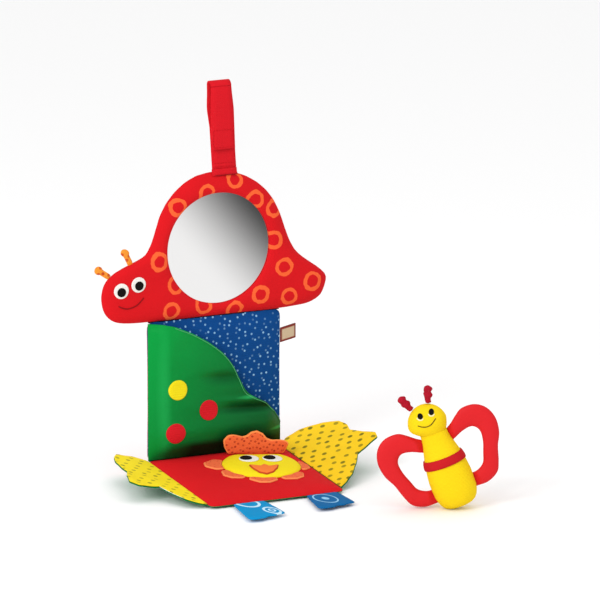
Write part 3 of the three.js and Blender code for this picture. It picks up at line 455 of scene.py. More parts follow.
def mark_seam(piece, shape):
    """Keeps each point's distance from the piece's sewn edge, for a worked edge."""
    runs = [run for row in shape[::-1] + shape for p, run, left in row] + [0.02, 0.02]
    piece.data.attributes.new("seam_run", "FLOAT", "POINT").data.foreach_set("value", runs)
    return piece


def applique(name, node, place, height, lift, thick, body, paint, count=56, soften=1,
             centre=None, crown=0.0, shift=(0, 0), grow=1.0):
    """A flat shape sewn on a surface, with a rounded edge and, with a crown, some stuffing."""
    outline, middle = rim(node, place, count, centre, soften)
    outline = middle + (outline - middle) * grow
    outline, middle = outline + np.array(shift), middle + np.array(shift)
    size = np.linalg.norm(outline - middle, axis=1).min()
    shape = rows(outline, middle, [0, 0.04, 0.12, 0.2, 0.3, 0.45, 0.6, 0.85])
    base = lambda p: (height(place, p) or 0) + lift
    rise = lambda run: thick * (0.35 + 0.65 * min(1, run / (0.6 * thick + 1e-5))) + crown * (
        1 - math.exp(-run / (0.25 * size)))
    under = raised(place, shape, lambda p, run, left: base(p))
    over = raised(place, shape, lambda p, run, left: base(p) + rise(run))
    ends = [lay(place, middle, base(middle)), lay(place, middle, base(middle) + thick + crown)]
    return mark_seam(solid(name, under[::-1] + over, body, paint, [node], ends), shape)


def with_ends(points):
    return [points[0] * 2 - points[1]] + points + [points[-1] * 2 - points[-2]]


def between(knots, i, u):
    """A point on the smooth path through knots, a share of the way past knot i."""
    a, b, c, d = knots[i:i + 4]
    return 0.5 * ((2 * b) + (c - a) * u + (2 * a - 5 * b + 4 * c - d) * u * u
                  + (3 * b - a - 3 * c + d) * u ** 3)


def stitched_line(name, points, place, height, radius, body, paint, steps=40):
    """A raised line of thread along a smooth path over a surface."""
    path = [Vector(p) for p in points]
    knots = with_ends(path)
    spots = []
    for k in range(steps + 1):
        t = k / steps * (len(path) - 1)
        i = min(int(t), len(path) - 2)
        p = between(knots, i, t - i)
        spots.append(lay(place, p, (height(place, p) or 0) + radius * 0.4))
    out = (place.to_3x3() @ Vector((0, -1, 0))).normalized()
    rings = []
    for k, at in enumerate(spots):
        along = (spots[min(k + 1, steps)] - spots[max(k - 1, 0)]).normalized()
        side = along.cross(out).normalized()
        taper = 1 if 0 < k < steps else 0.5
        rings.append([at + (side * math.cos(a) + out * math.sin(a)) * radius * taper
                      for a in [i * math.pi / 4 for i in range(8)]])
    return solid(name, rings, body, paint, (), [spots[0], spots[-1]])


white_felt = cloth("white_felt", "E6E4DE", rough=0.95, relief=0.5)
black_felt = cloth("black_felt", "0E0C0A", rough=0.85, relief=0.4)
dark_thread = cloth("dark_thread", "860E14", thread=6000.0, relief=0.3)
on_creature = surface_of(creature_front)
for hand, eye_shift, pupil_shift in (("left", (0, 0.0004), (-0.0019, 0.0006)),
                                     ("right", (-0.0014, 0.0006), (-0.0032, 0.0009))):
    eye = applique(f"creature_eye_{hand}", f"creature_{hand}_eye", panel_place, on_creature, 0.0002,
                   0.0008, "mirror_panel", white_felt, grow=1.07, shift=eye_shift)
    applique(f"creature_pupil_{hand}", f"creature_{hand}_pupil", panel_place, surface_of(eye), 0.0001,
             0.0008, "mirror_panel", black_felt, 32, shift=pupil_shift)
stitched_line("creature_smile", ((-0.1097, 0.0211), (-0.104, 0.0185), (-0.0985, 0.0178),
                                 (-0.0894, 0.0205), (-0.0816, 0.0277)),
              panel_place, on_creature, 0.0006, "mirror_panel", dark_thread)

# ---------------------------------------------------------------- creature's antennae
# Two short stuffed tabs of orange cloth with printed dots, pinched at their sewn edge and fuller in
# the middle. They are sewn into the head's seam.
dots, dots_in, dots_out = node_group(
    "printed_dots", (("Scale", "Float", 110.0), ("Size", "Float", 0.2), ("Scatter", "Float", 0.6),
                     ("Flat", "Float", 0.0), ("Turn", "Float", 0.0), ("Fade", "Float", 0.0)),
    (("Fac", "Float"),))
parts = put(dots, "SeparateXYZ", {0: where(dots)})
level = calc(dots, "MULTIPLY", calc(dots, "SUBTRACT", parts.outputs[1], parts.outputs[2]),
             dots_in.outputs["Flat"])
joined = put(dots, "CombineXYZ", {0: parts.outputs[0], 1: calc(dots, "ADD", parts.outputs[2], level)})
turning = put(dots, "VectorRotate", rotation_type="Z_AXIS")
dots.links.new(joined.outputs[0], turning.inputs["Vector"])
dots.links.new(dots_in.outputs["Turn"], turning.inputs["Angle"])
cells = put(dots, "TexVoronoi", voronoi_dimensions="2D")
dots.links.new(turning.outputs[0], cells.inputs["Vector"])
dots.links.new(dots_in.outputs["Scale"], cells.inputs["Scale"])
dots.links.new(dots_in.outputs["Scatter"], cells.inputs["Randomness"])
border = calc(dots, "SUBTRACT", dots_in.outputs["Size"], cells.outputs["Distance"])
mark = calc(dots, "MULTIPLY_ADD", border, 14.0, 0.5, use_clamp=True)
chance = put(dots, "SeparateColor", {0: cells.outputs["Color"]})
worn = calc(dots, "MULTIPLY", chance.outputs[0], dots_in.outputs["Fade"])
dots.links.new(calc(dots, "MULTIPLY", mark, calc(dots, "SUBTRACT", 1.0, worn)), dots_out.inputs[0])


def dotted(paint, laid_colour, *values):
    """Prints dots in an ink on a cloth: their scale, size, scatter, lie, turn and wear."""
    labels = ("Scale", "Size", "Scatter", "Flat", "Turn", "Fade")
    marks = put(paint.node_tree, "Group", zip(labels, values), node_tree=dots)
    return lay_colour(paint, marks.outputs[0], laid_colour)


def stuffed(name, node, place, thick, paint, count=120, centre=None, soft=0.003,
            root=0.0):
    """A flat stuffed shape on its own body, longer at its root where that is sewn in."""
    outline, middle = rim(node, place, count, centre)
    outline[:, 1] -= root * np.clip(1 - outline[:, 1] / 0.004, 0, 1)
    shape = rows(outline, middle, [0, 0.03, 0.08, 0.16, 0.28, 0.45, 0.65, 0.85])
    half = lambda p, run, left: swell(run, thick / 2, soft, 0.0005) + pucker(p, run, 0.0003, 0.005)
    behind = raised(place, shape, lambda p, run, left: -half(p, run, left))
    ends = [lay(place, middle, -thick / 2), lay(place, middle, thick / 2)]
    piece = solid(name, behind[::-1] + raised(place, shape, half), node, paint, [node], ends)
    mark_seam(piece, shape)


turned = lambda axis, degrees: Matrix.Rotation(math.radians(degrees), 4, axis)
feeler_dotted = dotted(cloth("feeler_dotted", "E58F30"), "C0481C", 175.0, 0.3, 0.5, 0, 0.2, 0.3)
for hand in ("left", "right"):
    axis = joint[f"{hand}_antenna_bend"]["axis"]
    slope = math.degrees(math.atan2(axis[2], axis[0]))
    stuffed(f"creature_feeler_{hand}", f"creature_{hand}_antenna",
            at_joint(f"{hand}_antenna_bend") @ turned("Y", -slope), 0.0034, feeler_dotted,
            64, soft=0.0018, root=0.0026)


# ---------------------------------------------------------------- garden panel
# The padded panel under the creature: blue cotton with small pale dots in front, plain red behind,
# sewn together at its rim. It thins at the folds above and below it.
def cushion(name, nodes, sign, crown, paint, slot, place, outline, centre, body, folds):
    """One half of a padded panel, flat at its seam."""
    shape = rows(outline, centre, spoke_shares)

    def height(p, run, left):
        full = swell(run * 0.8, crown, 0.008)
        for fold in folds:
            full *= by_fold(p[1] - fold)
        return sign * (full + pucker(p, run) * 0.6)
    seam = raised(place, shape[:1], lambda p, run, left: sign * 0.0001)
    piece = solid(name, seam + raised(place, shape, height), body, paint, nodes,
                  [lay(place, centre, sign * 0.0001), lay(place, centre, sign * crown)])
    return piece


garden_tall = 0.1459
blue_dotted = dotted(cloth("blue_dotted", "014283"), "8FC0E2", 150.0, 0.16, 0.8, 0, 0.4, 0.85)
garden = (panel_place, *rim("garden_front_cover", panel_place, 240), "garden_panel", (0, -garden_tall))
garden_front = cushion("garden_front", ["garden_front_cover", "garden_wadding"], 1, 0.0046,
                       blue_dotted, "blue_cotton", *garden)
cushion("garden_back", ["garden_back_cover"], -1, 0.0041, red_cotton, "red_cotton", *garden)

# ---------------------------------------------------------------- green satin pocket
# A loose satin hill sewn down at its left, foot and right. It bellies out, is creased where the
# photograph shows it, slumps at its foot, and its curved open edge is hemmed with thread.
low_x, low_z, wide, tall = -0.075, -garden_tall, 0.15, 0.145
satin = woven("green_satin", "00933A", 0.4, 0.22, 4200.0, 0.05, 0.1)
tree = satin.node_tree
tree.nodes["Principled BSDF"].inputs["Anisotropic"].default_value = 0.5
tree.nodes["Principled BSDF"].inputs["Specular Tint"].default_value = (0.3, 1, 0.45, 1)
spot = where(tree)
# Painted shade: the satin's green darkens to the right and down, for the light falling off across its
# sheen.
across = put(tree, "VectorMath", {0: spot, 1: (0.88, 0, -0.47)}, operation="DOT_PRODUCT")
painted_side_shade = put(tree, "MapRange", {"Value": across.outputs["Value"], "From Min": 0.018, "From Max": 0.22},
           interpolation_type="SMOOTHSTEP")
lay_colour(satin, painted_side_shade.outputs[0], "0C5A2A")


def painted_spots(spots, fall, level):
    """How strongly soft oval spots of painted highlight and painted shade lie on the satin, at shares of
    its width and height.
    """
    tones = []
    for u, v, half_wide, half_tall, strength in spots:
        near = put(tree, "VectorMath", {
            0: spot, 1: (1 / (half_wide * wide), 0, 1 / (half_tall * tall)),
            2: (-(low_x + u * wide) / (half_wide * wide), 0,
                (fold_z - low_z - v * tall) / (half_tall * tall))}, operation="MULTIPLY_ADD")
        reach = put(tree, "VectorMath", {0: near.outputs[0]}, operation="LENGTH").outputs["Value"]
        tone = calc(tree, "MULTIPLY_ADD", reach, -strength * fall, strength * level)
        tones.append(calc(tree, "MINIMUM", tone, strength))
    return most(tree, tones)


# Painted highlights: paler green along two fold ridges and in a narrow band down the left side.
painted_highlights = painted_spots(((0.7, 0.412, 0.1, 0.013, 0.5), (0.93, 0.15, 0.07, 0.012, 0.5),
                 (0.05, 0.45, 0.04, 0.5, 0.2)), 1, 1.3)
lay_colour(satin, painted_highlights, "2FBE66")
# Painted shade: near black green in two creases, and along the satin's foot under its slumped belly except
# near its left edge.
parts = put(tree, "SeparateXYZ", {0: spot})
slump, inward = 0.0075, 0.034
at_foot = calc(tree, "MULTIPLY_ADD", parts.outputs[2], -1 / slump, (low_z - fold_z + 0.021) / slump,
               use_clamp=True)
from_left = calc(tree, "MULTIPLY_ADD", parts.outputs[0], 1 / inward, -(low_x + 0.006) / inward,
                 use_clamp=True)
painted_crease_shade = painted_spots(((0.52, 0.57, 0.15, 0.05, 0.45), (0.72, 0.335, 0.24, 0.035, 0.7)), 0.9, 1.35)
lay_colour(satin, most(tree, [painted_crease_shade, calc(tree, "MULTIPLY", at_foot, from_left)]), "002410")


def step(value):
    value = min(max(value, 0), 1)
    return value * value * (3 - 2 * value)


def satin_height(u, v):
    """The satin's rise off the blue panel at a share of its width and height."""
    sewn = step(u / 0.15) ** 0.7 * step((1 - u) / 0.16) ** 0.8 * step(v / 0.13) ** 0.7
    to_right = step((u - 0.42) / 0.25)
    folds = (0.0026 * ridge(v, 0.2 - 0.02 * u, 0.08)
             - 0.0034 * ridge(v, 0.33 - 0.07 * (u - 0.7), 0.028) * to_right
             + 0.0022 * ridge(v, 0.395 - 0.06 * (u - 0.7), 0.02) * to_right
             - 0.003 * ridge(v + 0.1 * (u - 0.5), 0.57, 0.04) * ridge(u, 0.52, 0.14)
             + 0.0005 * math.sin(8 * u + 17 * v) * step(u / 0.3)
             + 0.0006 * noise.noise(Vector((u * 7, v * 9, 1.7))))
    behind_comb = 1 - 0.88 * ridge(u, 0.76, 0.3) * ridge(v, 0.06, 0.115)
    return sewn * behind_comb * (0.0083 + folds) + 0.00015 * noise.noise(Vector((u * 40, v * 40, 5)))


edge_curve = [(0.002, 0.994), (0.09, 0.988), (0.18, 0.967), (0.304, 0.91), (0.426, 0.835), (0.53, 0.75),
              (0.6, 0.66), (0.652, 0.555), (0.687, 0.471), (0.736, 0.421), (0.857, 0.358),
              (0.932, 0.285), (0.998, 0.195)]
columns, levels, satin_thick = 110, 120, 0.0008
tops = np.interp(np.linspace(0.002, 0.998, columns), *zip(*edge_curve))
for _ in range(4):
    tops[1:-1] = (tops[:-2] + 2 * tops[1:-1] + tops[2:]) / 4
on_garden = surface_of(garden_front)
points, faces = [], []
for layer in (0, 1):
    for i, top in enumerate(tops):
        u = 0.002 + 0.996 * i / (columns - 1)
        for k in range(levels + 1):
            v = 0.004 + (top - 0.004) * k / levels
            p = (low_x + u * wide, low_z + v * tall)
            under = on_garden(panel_place, p) or 0.0006
            hem = 0.0005 * ridge((top - v) * tall, 0.0016, 0.0012)
            lift = 0.0003 + satin_height(u, v) + (satin_thick + hem if layer else 0)
            points.append(lay(panel_place, p, under + lift))
size = columns * (levels + 1)
knot = lambda layer, i, k: layer * size + i * (levels + 1) + k
for i in range(columns - 1):
    for k in range(levels):
        faces.append((knot(1, i, k), knot(1, i + 1, k), knot(1, i + 1, k + 1), knot(1, i, k + 1)))
        faces.append((knot(0, i, k + 1), knot(0, i + 1, k + 1), knot(0, i + 1, k), knot(0, i, k)))
    for k in (0, levels):
        faces.append((knot(0, i, k), knot(0, i + 1, k), knot(1, i + 1, k), knot(1, i, k)))
for i in (0, columns - 1):
    for k in range(levels):
        faces.append((knot(0, i, k), knot(1, i, k), knot(1, i, k + 1), knot(0, i, k + 1)))
pocket = dress("satin_hill", points, faces, "garden_panel", satin, ["hill_pocket"])

on_satin = surface_of(pocket)
hem_thread = cloth("hem_thread", "4FA870", rough=0.6, thread=6000.0, relief=0.2)
stitched_line("pocket_hem", [(low_x + (u - 0.006) * wide, low_z + (v - 0.008) * tall)
                             for u, v in edge_curve[2:-1]],
              panel_place, on_satin, 0.00035, "garden_panel", hem_thread, 160)

# ---------------------------------------------------------------- dots on the pocket
# Three discs of thin felt, one yellow and two red. They are sewn on the loose satin and follow
# its folds.
yellow_felt = cloth("yellow_felt", "E8DA1C", rough=0.95, relief=0.5)
red_felt = cloth("red_felt", "CB1B26", rough=0.95, relief=0.5)
for name, paint, slot in (("yellow_dot", yellow_felt, "yellow_felt"),
                          ("upper_red_dot", red_felt, "red_felt"), ("lower_red_dot", red_felt, "red_felt")):
    applique(f"{name}_felt", name, panel_place, on_satin, 0.0002, 0.0009, "garden_panel", paint)

# ---------------------------------------------------------------- floor flap
# The padded flap that lies out on the mattress: red cotton on top, green below, and wadding
# between. It hangs on the garden panel's foot.
flap_place = at_joint("flap_fold") @ turned("X", -84.8)
green_cotton = cloth("green_cotton", "107A44")
flap = (flap_place, *rim("flap_top_cover", flap_place, 240), "floor_flap", (0,))
flap_top = cushion("flap_top", ["flap_top_cover", "flap_wadding"], 1, 0.0047, red_cotton, "red_cotton",
                   *flap)
cushion("flap_base", ["flap_underside"], -1, 0.0041, green_cotton, "green_cotton", *flap)

# ---------------------------------------------------------------- folds
# Binding tape that joins the panels at the two folds. Its near black colour is painted shade, for
# the dark gap in each fold. It is not attached to either panel.
painted_shade_fold_cloth = cloth("fold_binding", "1A0F1C", thread=4200.0, relief=0.3)
half_tape = 0.0003
for name, place, bodies, low, high in (
        ("upper_fold", panel_place, ("mirror_panel", "garden_panel"), (0, 0.0013), (0, -0.0013)),
        ("lower_fold", at_joint("flap_fold"), ("garden_panel", "floor_flap"), (0.0002, 0.0012),
         (-0.0012, -0.0001))):
    rings = []
    for x in np.linspace(-0.0738, 0.0738, 40):
        ring = []
        for t, side in ((0, 1), (0.5, 1), (1, 1), (1, -1), (0.5, -1), (0, -1)):
            y, z = low[0] + (high[0] - low[0]) * t, low[1] + (high[1] - low[1]) * t
            ring.append(place @ Vector((x, y - side * half_tape, z - (side * half_tape if high[0] else 0))))
        rings.append(ring)
    tape = solid(name, rings, None, painted_shade_fold_cloth, (),
                 [sum(rings[0], Vector()) / 6, sum(rings[-1], Vector()) / 6])
    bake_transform(tape)


# ---------------------------------------------------------------- chick's face and comb
# A low stuffed yellow pad with five orange rays round it, felt eyes and a beak, all sewn on the
# flap. The comb is a stuffed orange tab that stands up behind the face.
def worked_edge(paint, colour, width):
    """A band of another colour along a cloth's sewn edge."""
    tree = paint.node_tree
    seam = put(tree, "Attribute", attribute_name="seam_run")
    band = calc(tree, "MULTIPLY_ADD", seam.outputs["Fac"], -2500.0, 2500.0 * width + 0.5)
    return lay_colour(paint, band, colour)


on_flap = surface_of(flap_top)
orange_petal = worked_edge(dotted(cloth("orange_petal", "E66A40"), "C4482A", 190.0, 0.16, 0.7, 1, 0.2,
                                  0.7), "F08A52", 0.0013)
for i in range(1, 6):
    applique(f"petal_{i}", f"chick_feather_{i}", flap_place, on_flap, 0.0002, 0.001, "floor_flap",
             orange_petal, crown=0.0006)
face_yellow = cloth("face_yellow", "EBD61A", relief=0.2)
chick_pad = applique("chick_pad", "chick_face", flap_place, on_flap, 0.0003, 0.001, "floor_flap",
                     face_yellow, 120, centre=(0.0235, -0.063), crown=0.0042)
on_face = surface_of(chick_pad)
for hand in ("left", "right"):
    eye = applique(f"chick_eye_{hand}", f"chick_{hand}_eye", flap_place, on_face, 0.0002, 0.0009,
                   "floor_flap", white_felt)
    applique(f"chick_pupil_{hand}", f"chick_{hand}_pupil", flap_place, surface_of(eye), 0.0001, 0.0008,
             "floor_flap", black_felt, 32)
beak_orange = worked_edge(cloth("beak_orange", "EC7A36", relief=0.2), "BE4A22", 0.0009)
applique("chick_beak_patch", "chick_beak", flap_place, on_face, 0.0002, 0.0012, "floor_flap",
         beak_orange, 64, 0, crown=0.0006)
orange_dotted = worked_edge(dotted(cloth("orange_dotted", "E8683A"), "A83420", 215.0, 0.24, 0.6, 0, 0.5,
                                   0.5), "F58C4A", 0.0015)
comb_place = at_joint("comb_bend") @ turned("X", -84.8) @ turned("Y", 17) @ turned("X", 94.8)
stuffed("comb_tab", "chick_comb", comb_place, 0.0046, orange_dotted, 160, (0, 0.0103))


# ---------------------------------------------------------------- wings
# Two cloths with a crinkling film between them, yellow with olive dots on top and green below,
# sewn along the flap's sides. They wave a little away from the seam.
def wing_layer(name, node, place, side, level, thick, body, paint, shrink):
    outline, middle = rim(node, place, 150, (-0.03, -0.075) if side < 0 else (0.034, -0.078), 0)
    outline = outline + (middle - outline) * shrink
    shape = rows(outline, middle, [0, 0.01, 0.04, 0.1, 0.18, 0.28, 0.4, 0.53, 0.67, 0.82, 0.94])

    def wave(p):
        out = abs(p[0]) / 0.078
        rise = 0.0024 * math.sin(p[1] / 0.146 * 3.2 * math.pi) * step(out - 0.25)
        crumple = 0.0011 * noise.noise(Vector((p[0] * 55, p[1] * 55, 2 + side)))
        return rise + crumple * step(out * 2)
    low = raised(place, shape, lambda p, run, left: wave(p) + level)
    high = raised(place, shape, lambda p, run, left: wave(p) + level + thick + 0.0004 * ridge(
        run, 0.004, 0.0018))
    ends = [lay(place, middle, wave(middle) + level), lay(place, middle, wave(middle) + level + thick)]
    return solid(name, low[::-1] + high, body, paint, [node], ends)


yellow_dotted = dotted(cloth("yellow_dotted", "EDC41C"), "6E6A16", 84.0, 0.21, 0.3, 1, 0.62, 0.3)
lemon_dotted = dotted(cloth("lemon_dotted", "EFD820"), "8C8420", 84.0, 0.19, 0.3, 1, 0.62, 0.6)
film_paint = cloth("crinkle_film", "E8EDF0", rough=0.25, sheen=0, thread=900.0, relief=0.2)
for hand, side, tilt, top_cloth in (("left", -1, 12, lemon_dotted), ("right", 1, -20, yellow_dotted)):
    place = flap_place @ Matrix.Translation((side * 0.075, 0, 0)) @ turned("Z", tilt)
    for layer, node, level, thick, paint, slot, shrink, flat in (
            ("under", "underside", -0.00115, 0.0007, green_cotton, "green_cotton", 0, (0.078, 0.1475)),
            ("crinkle", "film", -0.00015, 0.0003, film_paint, "film", 0.03, (0.073, 0.1375)),
            ("upper", "top", 0.00045, 0.0007, top_cloth, "yellow_cotton", 0, (0.078, 0.1475))):
        piece = wing_layer(f"{hand}_wing_{layer}", f"{hand}_wing_{node}", place, side, level, thick,
                           f"{hand}_wing", paint, shrink)

# ---------------------------------------------------------------- feet
# Two flat stuffed feet of blue cotton with zigzag toes, sewn into the flap's front seam. Each has
# pale rings printed on it.
foreshorten, ring_sharp = 0.55, 2600.0
for hand, colour, laid_colour, slot, prints in (
        ("left", "048AC2", "BFE2F2", "turquoise_cotton",
         ((-0.0356, -0.196, 0.0072, 0.0011), (-0.0356, -0.196, 0.0028, 0.0008),
          (-0.0444, -0.156, 0.0105, 0.0013))),
        ("right", "0C619A", "8FC4E4", "deep_blue_cotton",
         ((0.0342, -0.1755, 0.0105, 0.0007), (0.0342, -0.1755, 0.0016, 0.0017)))):
    foot_paint = cloth(f"{hand}_foot_print", colour)
    tree = foot_paint.node_tree
    flat = put(tree, "VectorMath", {0: where(tree), 1: (1, foreshorten, 0)}, operation="MULTIPLY")
    lay_colour(foot_paint, ring_marks(tree, flat.outputs[0], ring_sharp, [
        ((x, y * foreshorten, 0), radius, ring_sharp * half + 0.5) for x, y, radius, half in prints]), laid_colour)
    stuffed(f"foot_{hand}", f"{hand}_foot", at_joint(f"{hand}_foot_fold") @ turned("X", -91), 0.0034,
            foot_paint)

# ---------------------------------------------------------------- strap
# Woven red tape: a short tab at the front, the fold at its foot, the long rear leg, the bend over
# the rail and the front leg, which ends over the tab with its hook tape. Its seams are stitched.
strap_x, foot_z = joint["mirror_swing"]["pos_m"][0], joint["mirror_swing"]["pos_m"][2]
strap_lean, tail_lean, tail_shift = 0.063, 0.034, -0.00253
strap_red = cloth("strap_red", "CE1420", thread=3400.0, relief=0.5, drift=0.14)


def ribbon(name, path, width, thick, body, replaced=(), lean=strap_lean, shift=0.0):
    """Tape along a path of Y and Z, wider than thick, with a soft edge and drawn in at the rail."""
    fine = []
    for (y0, z0), (y1, z1) in zip(path, path[1:]):
        count = max(1, int(math.hypot(y1 - y0, z1 - z0) / 0.0015))
        fine += [(y0 + (y1 - y0) * k / count, z0 + (z1 - z0) * k / count) for k in range(count)]
    fine.append(path[-1])
    rings = []
    for i, (y, z) in enumerate(fine):
        (ya, za), (yb, zb) = fine[max(i - 1, 0)], fine[min(i + 1, len(fine) - 1)]
        length = math.hypot(yb - ya, zb - za)
        ny, nz = -(zb - za) / length, (yb - ya) / length
        ring = []
        for a, b in ((-1, 0), (-0.97, -1), (-0.5, -1), (0, -1), (0.5, -1), (0.97, -1), (1, 0), (0.97, 1),
                     (0.5, 1), (0, 1), (-0.5, 1), (-0.97, 1)):
            off = b * thick / 2 + 0.0001 * noise.noise(Vector((a * 4, y * 90, z * 90)))
            drawn_in = 1 - 0.13 * step((z - 0.06) / 0.03)
            ring.append((strap_x + shift - z * lean + a * drawn_in * width / 2, y + ny * off,
                         foot_z + z + nz * off))
        rings.append(ring)
    ends = [(strap_x + shift - z * lean, y, foot_z + z) for y, z in (fine[0], fine[-1])]
    solid(name, rings, body, strap_red, replaced, ends)


arc = lambda cz, r, a0, a1, n: [(r * math.cos(a0 + (a1 - a0) * k / n),
                                 cz + r * math.sin(a0 + (a1 - a0) * k / n)) for k in range(n + 1)]
ribbon("tape_band", [(-0.00095, 0.046)] + arc(0.00175, 0.00095, math.pi, 2 * math.pi, 10)
       + [(0.00095, 0.044), (0.0013, 0.047), (0.0044, 0.061), (0.0048, 0.065)]
       + arc(0.088, 0.0048, 0, math.pi, 18), 0.0265, 0.0015, "strap", ["strap_band"])
ribbon("tape_tail", [(-0.0048, 0.0878), (-0.0052, 0.07), (-0.00545, 0.0634), (-0.00545, 0.0225)],
       0.0262, 0.0015, "strap_end", ["strap_end"], tail_lean, tail_shift)
ribbon("tape_foot", [(-0.0026, 0.002), (-0.0026, -0.0012), (-0.003, -0.0025), (-0.0043, -0.0047)],
       0.0284, 0.0009, "mirror_panel", shift=-0.0012)
stitched_line("foot_thread", [(strap_x + x, -0.0045) for x in (-0.0128, 0, 0.0128)],
              at_joint("mirror_swing") @ Matrix.Translation((-strap_x + 0.0003, 0, 0)),
              lambda place, p: 0.0046, 0.0004, "mirror_panel", dark_thread, 12)
hooks = cloth("hook_tape", "B5141C", rough=0.95, thread=2000.0, relief=0.9)
repaint("loop_patch", hooks)
repaint("hook_patch", hooks)
red_thread = cloth("red_thread", "BE111B", thread=6000.0, relief=0.3)


def stitches(name, runs, body, radius=0.00028, stitch=0.0021, pitch=0.003):
    """Rows of sewing thread, one short bead for each stitch."""
    points, faces = [], []
    for start, end, out in runs:
        start, end, out = Vector(start), Vector(end), Vector(out)
        along = (end - start).normalized()
        side = along.cross(out).normalized()
        for k in range(int((end - start).length / pitch)):
            middle = start + along * pitch * (k + 0.5)
            base = len(points)
            for t, r in ((-0.5, 0.35), (-0.3, 1), (0.3, 1), (0.5, 0.35)):
                for turn in [a * math.pi / 3 for a in range(6)]:
                    points.append(middle + along * stitch * t + (
                        side * math.cos(turn) + out * math.sin(turn)) * radius * r)
            for r in range(3):
                for a in range(6):
                    b = (a + 1) % 6
                    faces.append((base + r * 6 + a, base + r * 6 + b, base + r * 6 + 6 + b,
                                  base + r * 6 + 6 + a))
            faces.append(tuple(base + a for a in range(5, -1, -1)))
            faces.append(tuple(base + 18 + a for a in range(6)))
    dress(name, points, faces, body, red_thread, smooth=False)


on_tail = lambda x, z: (strap_x + tail_shift - z * tail_lean + x, -0.0063, foot_z + z)
on_band = lambda x, y, z: (strap_x - z * strap_lean + x, y, foot_z + z)
half_box, box_foot, box_top = 0.0115, 0.0245, 0.0425
stitches("tail_thread", [
    (on_tail(x0, z0), on_tail(x1, z1), (0, -1, 0)) for x0, z0, x1, z1 in (
        (-half_box, box_foot, half_box, box_foot), (-half_box, box_top, half_box, box_top),
        (-half_box, box_foot, -half_box, box_top), (half_box, box_foot, half_box, box_top))], "strap_end")
stitches("band_thread", [
    (on_band(-0.0118, side * 0.00185, z), on_band(0.0118, side * 0.00185, z), (0, side, 0))
    for side in (-1, 1) for z in (0.004, 0.0075)], "strap")

# ---------------------------------------------------------------- side label
# A woven tape folded over in the right seam, left bare: beige with brown-red edges. It slopes up
# a little from the seam.
label_x, _, label_z = joint["label_bend"]["pos_m"]
label_slope, stripe_sharp = 0.2, 900.0
label_paint = cloth("label_weave", "C2AE90", rough=0.7, thread=5200.0, relief=0.3)
tree = label_paint.node_tree
parts = put(tree, "SeparateXYZ", {0: where(tree)})
sloped = calc(tree, "MULTIPLY_ADD", parts.outputs[0], -label_slope,
              label_slope * (label_x + 0.0009) - label_z)
off = calc(tree, "ABSOLUTE", calc(tree, "ADD", parts.outputs[2], sloped))
lay_colour(label_paint, most(tree, [
    calc(tree, "MULTIPLY_ADD", off, stripe_sharp, -stripe_sharp * 0.0048),
    calc(tree, "MULTIPLY_ADD", parts.outputs[0], -700.0, 700.0 * (label_x + 0.0032)),
    calc(tree, "MULTIPLY_ADD", parts.outputs[0], stripe_sharp, -stripe_sharp * (label_x + 0.016))]),
    "7C2E26")
half_outer = [(0.0009, 0.0008), (0.006, 0.0009), (0.012, 0.001), (0.016, 0.0009), (0.0178, 0.0006)]
half_inner = [(0.0009, -0.0004), (0.006, -0.0005), (0.012, -0.0006), (0.016, -0.0005)]
mirror_back = lambda points: [(x, -y) for x, y in points[::-1]]
section = (half_outer + [(0.0185, 0)] + mirror_back(half_outer)
           + half_inner + [(0.0176, 0)] + mirror_back(half_inner))
rings = [[(label_x + x, y, label_z + z + label_slope * (x - 0.0009)) for x, y in section]
         for z in np.linspace(-0.0075, 0.0075, 16)]
solid("label_loop", rings, "side_label", label_paint, ["side_label"],
      [(label_x + 0.0181, 0, label_z - 0.0041), (label_x + 0.0181, 0, label_z + 0.0109)])

# ---------------------------------------------------------------- butterfly
# A stuffed plush body and head, a red belt, felt eyes and a stitched smile. It stands turned to the
# camera and leans to its right, on the foot of its body and its ring wings.
turn = turned("Z", -26) @ turned("Y", -20.6)
hinge_left = Vector(joint["butterfly_left_wing_bend"]["pos_m"])
bf_place = Matrix.Translation(hinge_left - turn @ Vector((-0.0213, 0, 0.0208))) @ turn
body_wide, body_tall, body_flat = 0.022, 0.082, 0.82
body_profile = [(0.0, 0.0), (0.3, 0.003), (0.56, 0.016), (0.74, 0.042), (0.86, 0.082), (0.95, 0.14),
                (1.0, 0.2), (1.02, 0.3), (1.02, 0.4), (0.985, 0.5), (0.93, 0.6), (0.85, 0.7),
                (0.755, 0.79), (0.68, 0.87), (0.64, 0.94), (0.63, 0.998), (0.3, 1.0)]


def hoop(x, z, half_wide, half_deep, count=72):
    """A level oval ring of points of the butterfly."""
    return [bf_place @ Vector((x + math.cos(a) * half_wide, math.sin(a) * half_deep, z))
            for a in [k * math.pi / (count // 2) for k in range(count)]]


def side_at(z):
    """The body's half width at a height."""
    return body_wide * np.interp(z / body_tall, [s for r, s in body_profile], [r for r, s in body_profile])


plush = cloth("yellow_plush", "ECCB14", rough=0.95, sheen=0.1, thread=1500.0, relief=0.4, drift=0.1)
belly = bf_place @ Vector((0, 0, 0.04))
rings = [[p + (p - belly).normalized() * 0.0004 * noise.noise(p * 90)
          for p in hoop(0, z * body_tall, r * body_wide, r * body_wide * body_flat)]
         for r, z in body_profile[1:-1]]
bf_body = solid("plush_body", rings, "butterfly", plush,
                ["butterfly_body", "butterfly_stuffing"],
                [bf_place @ Vector((0, 0, 0)), bf_place @ Vector((0, 0, 0.08205))])
rings = [hoop(0, z, side_at(z) + grow, side_at(z) * body_flat + grow) for z, grow in (
    (0.0462, 0.0004), (0.0466, 0.0013), (0.049, 0.0017), (0.0527, 0.0017), (0.0552, 0.0013),
    (0.0556, 0.0004), (0.0545, 0.0002), (0.0475, 0.0002))]
solid("plush_belt", rings, "butterfly", cloth("belt_red", "BC1A20"), ["butterfly_belt"])

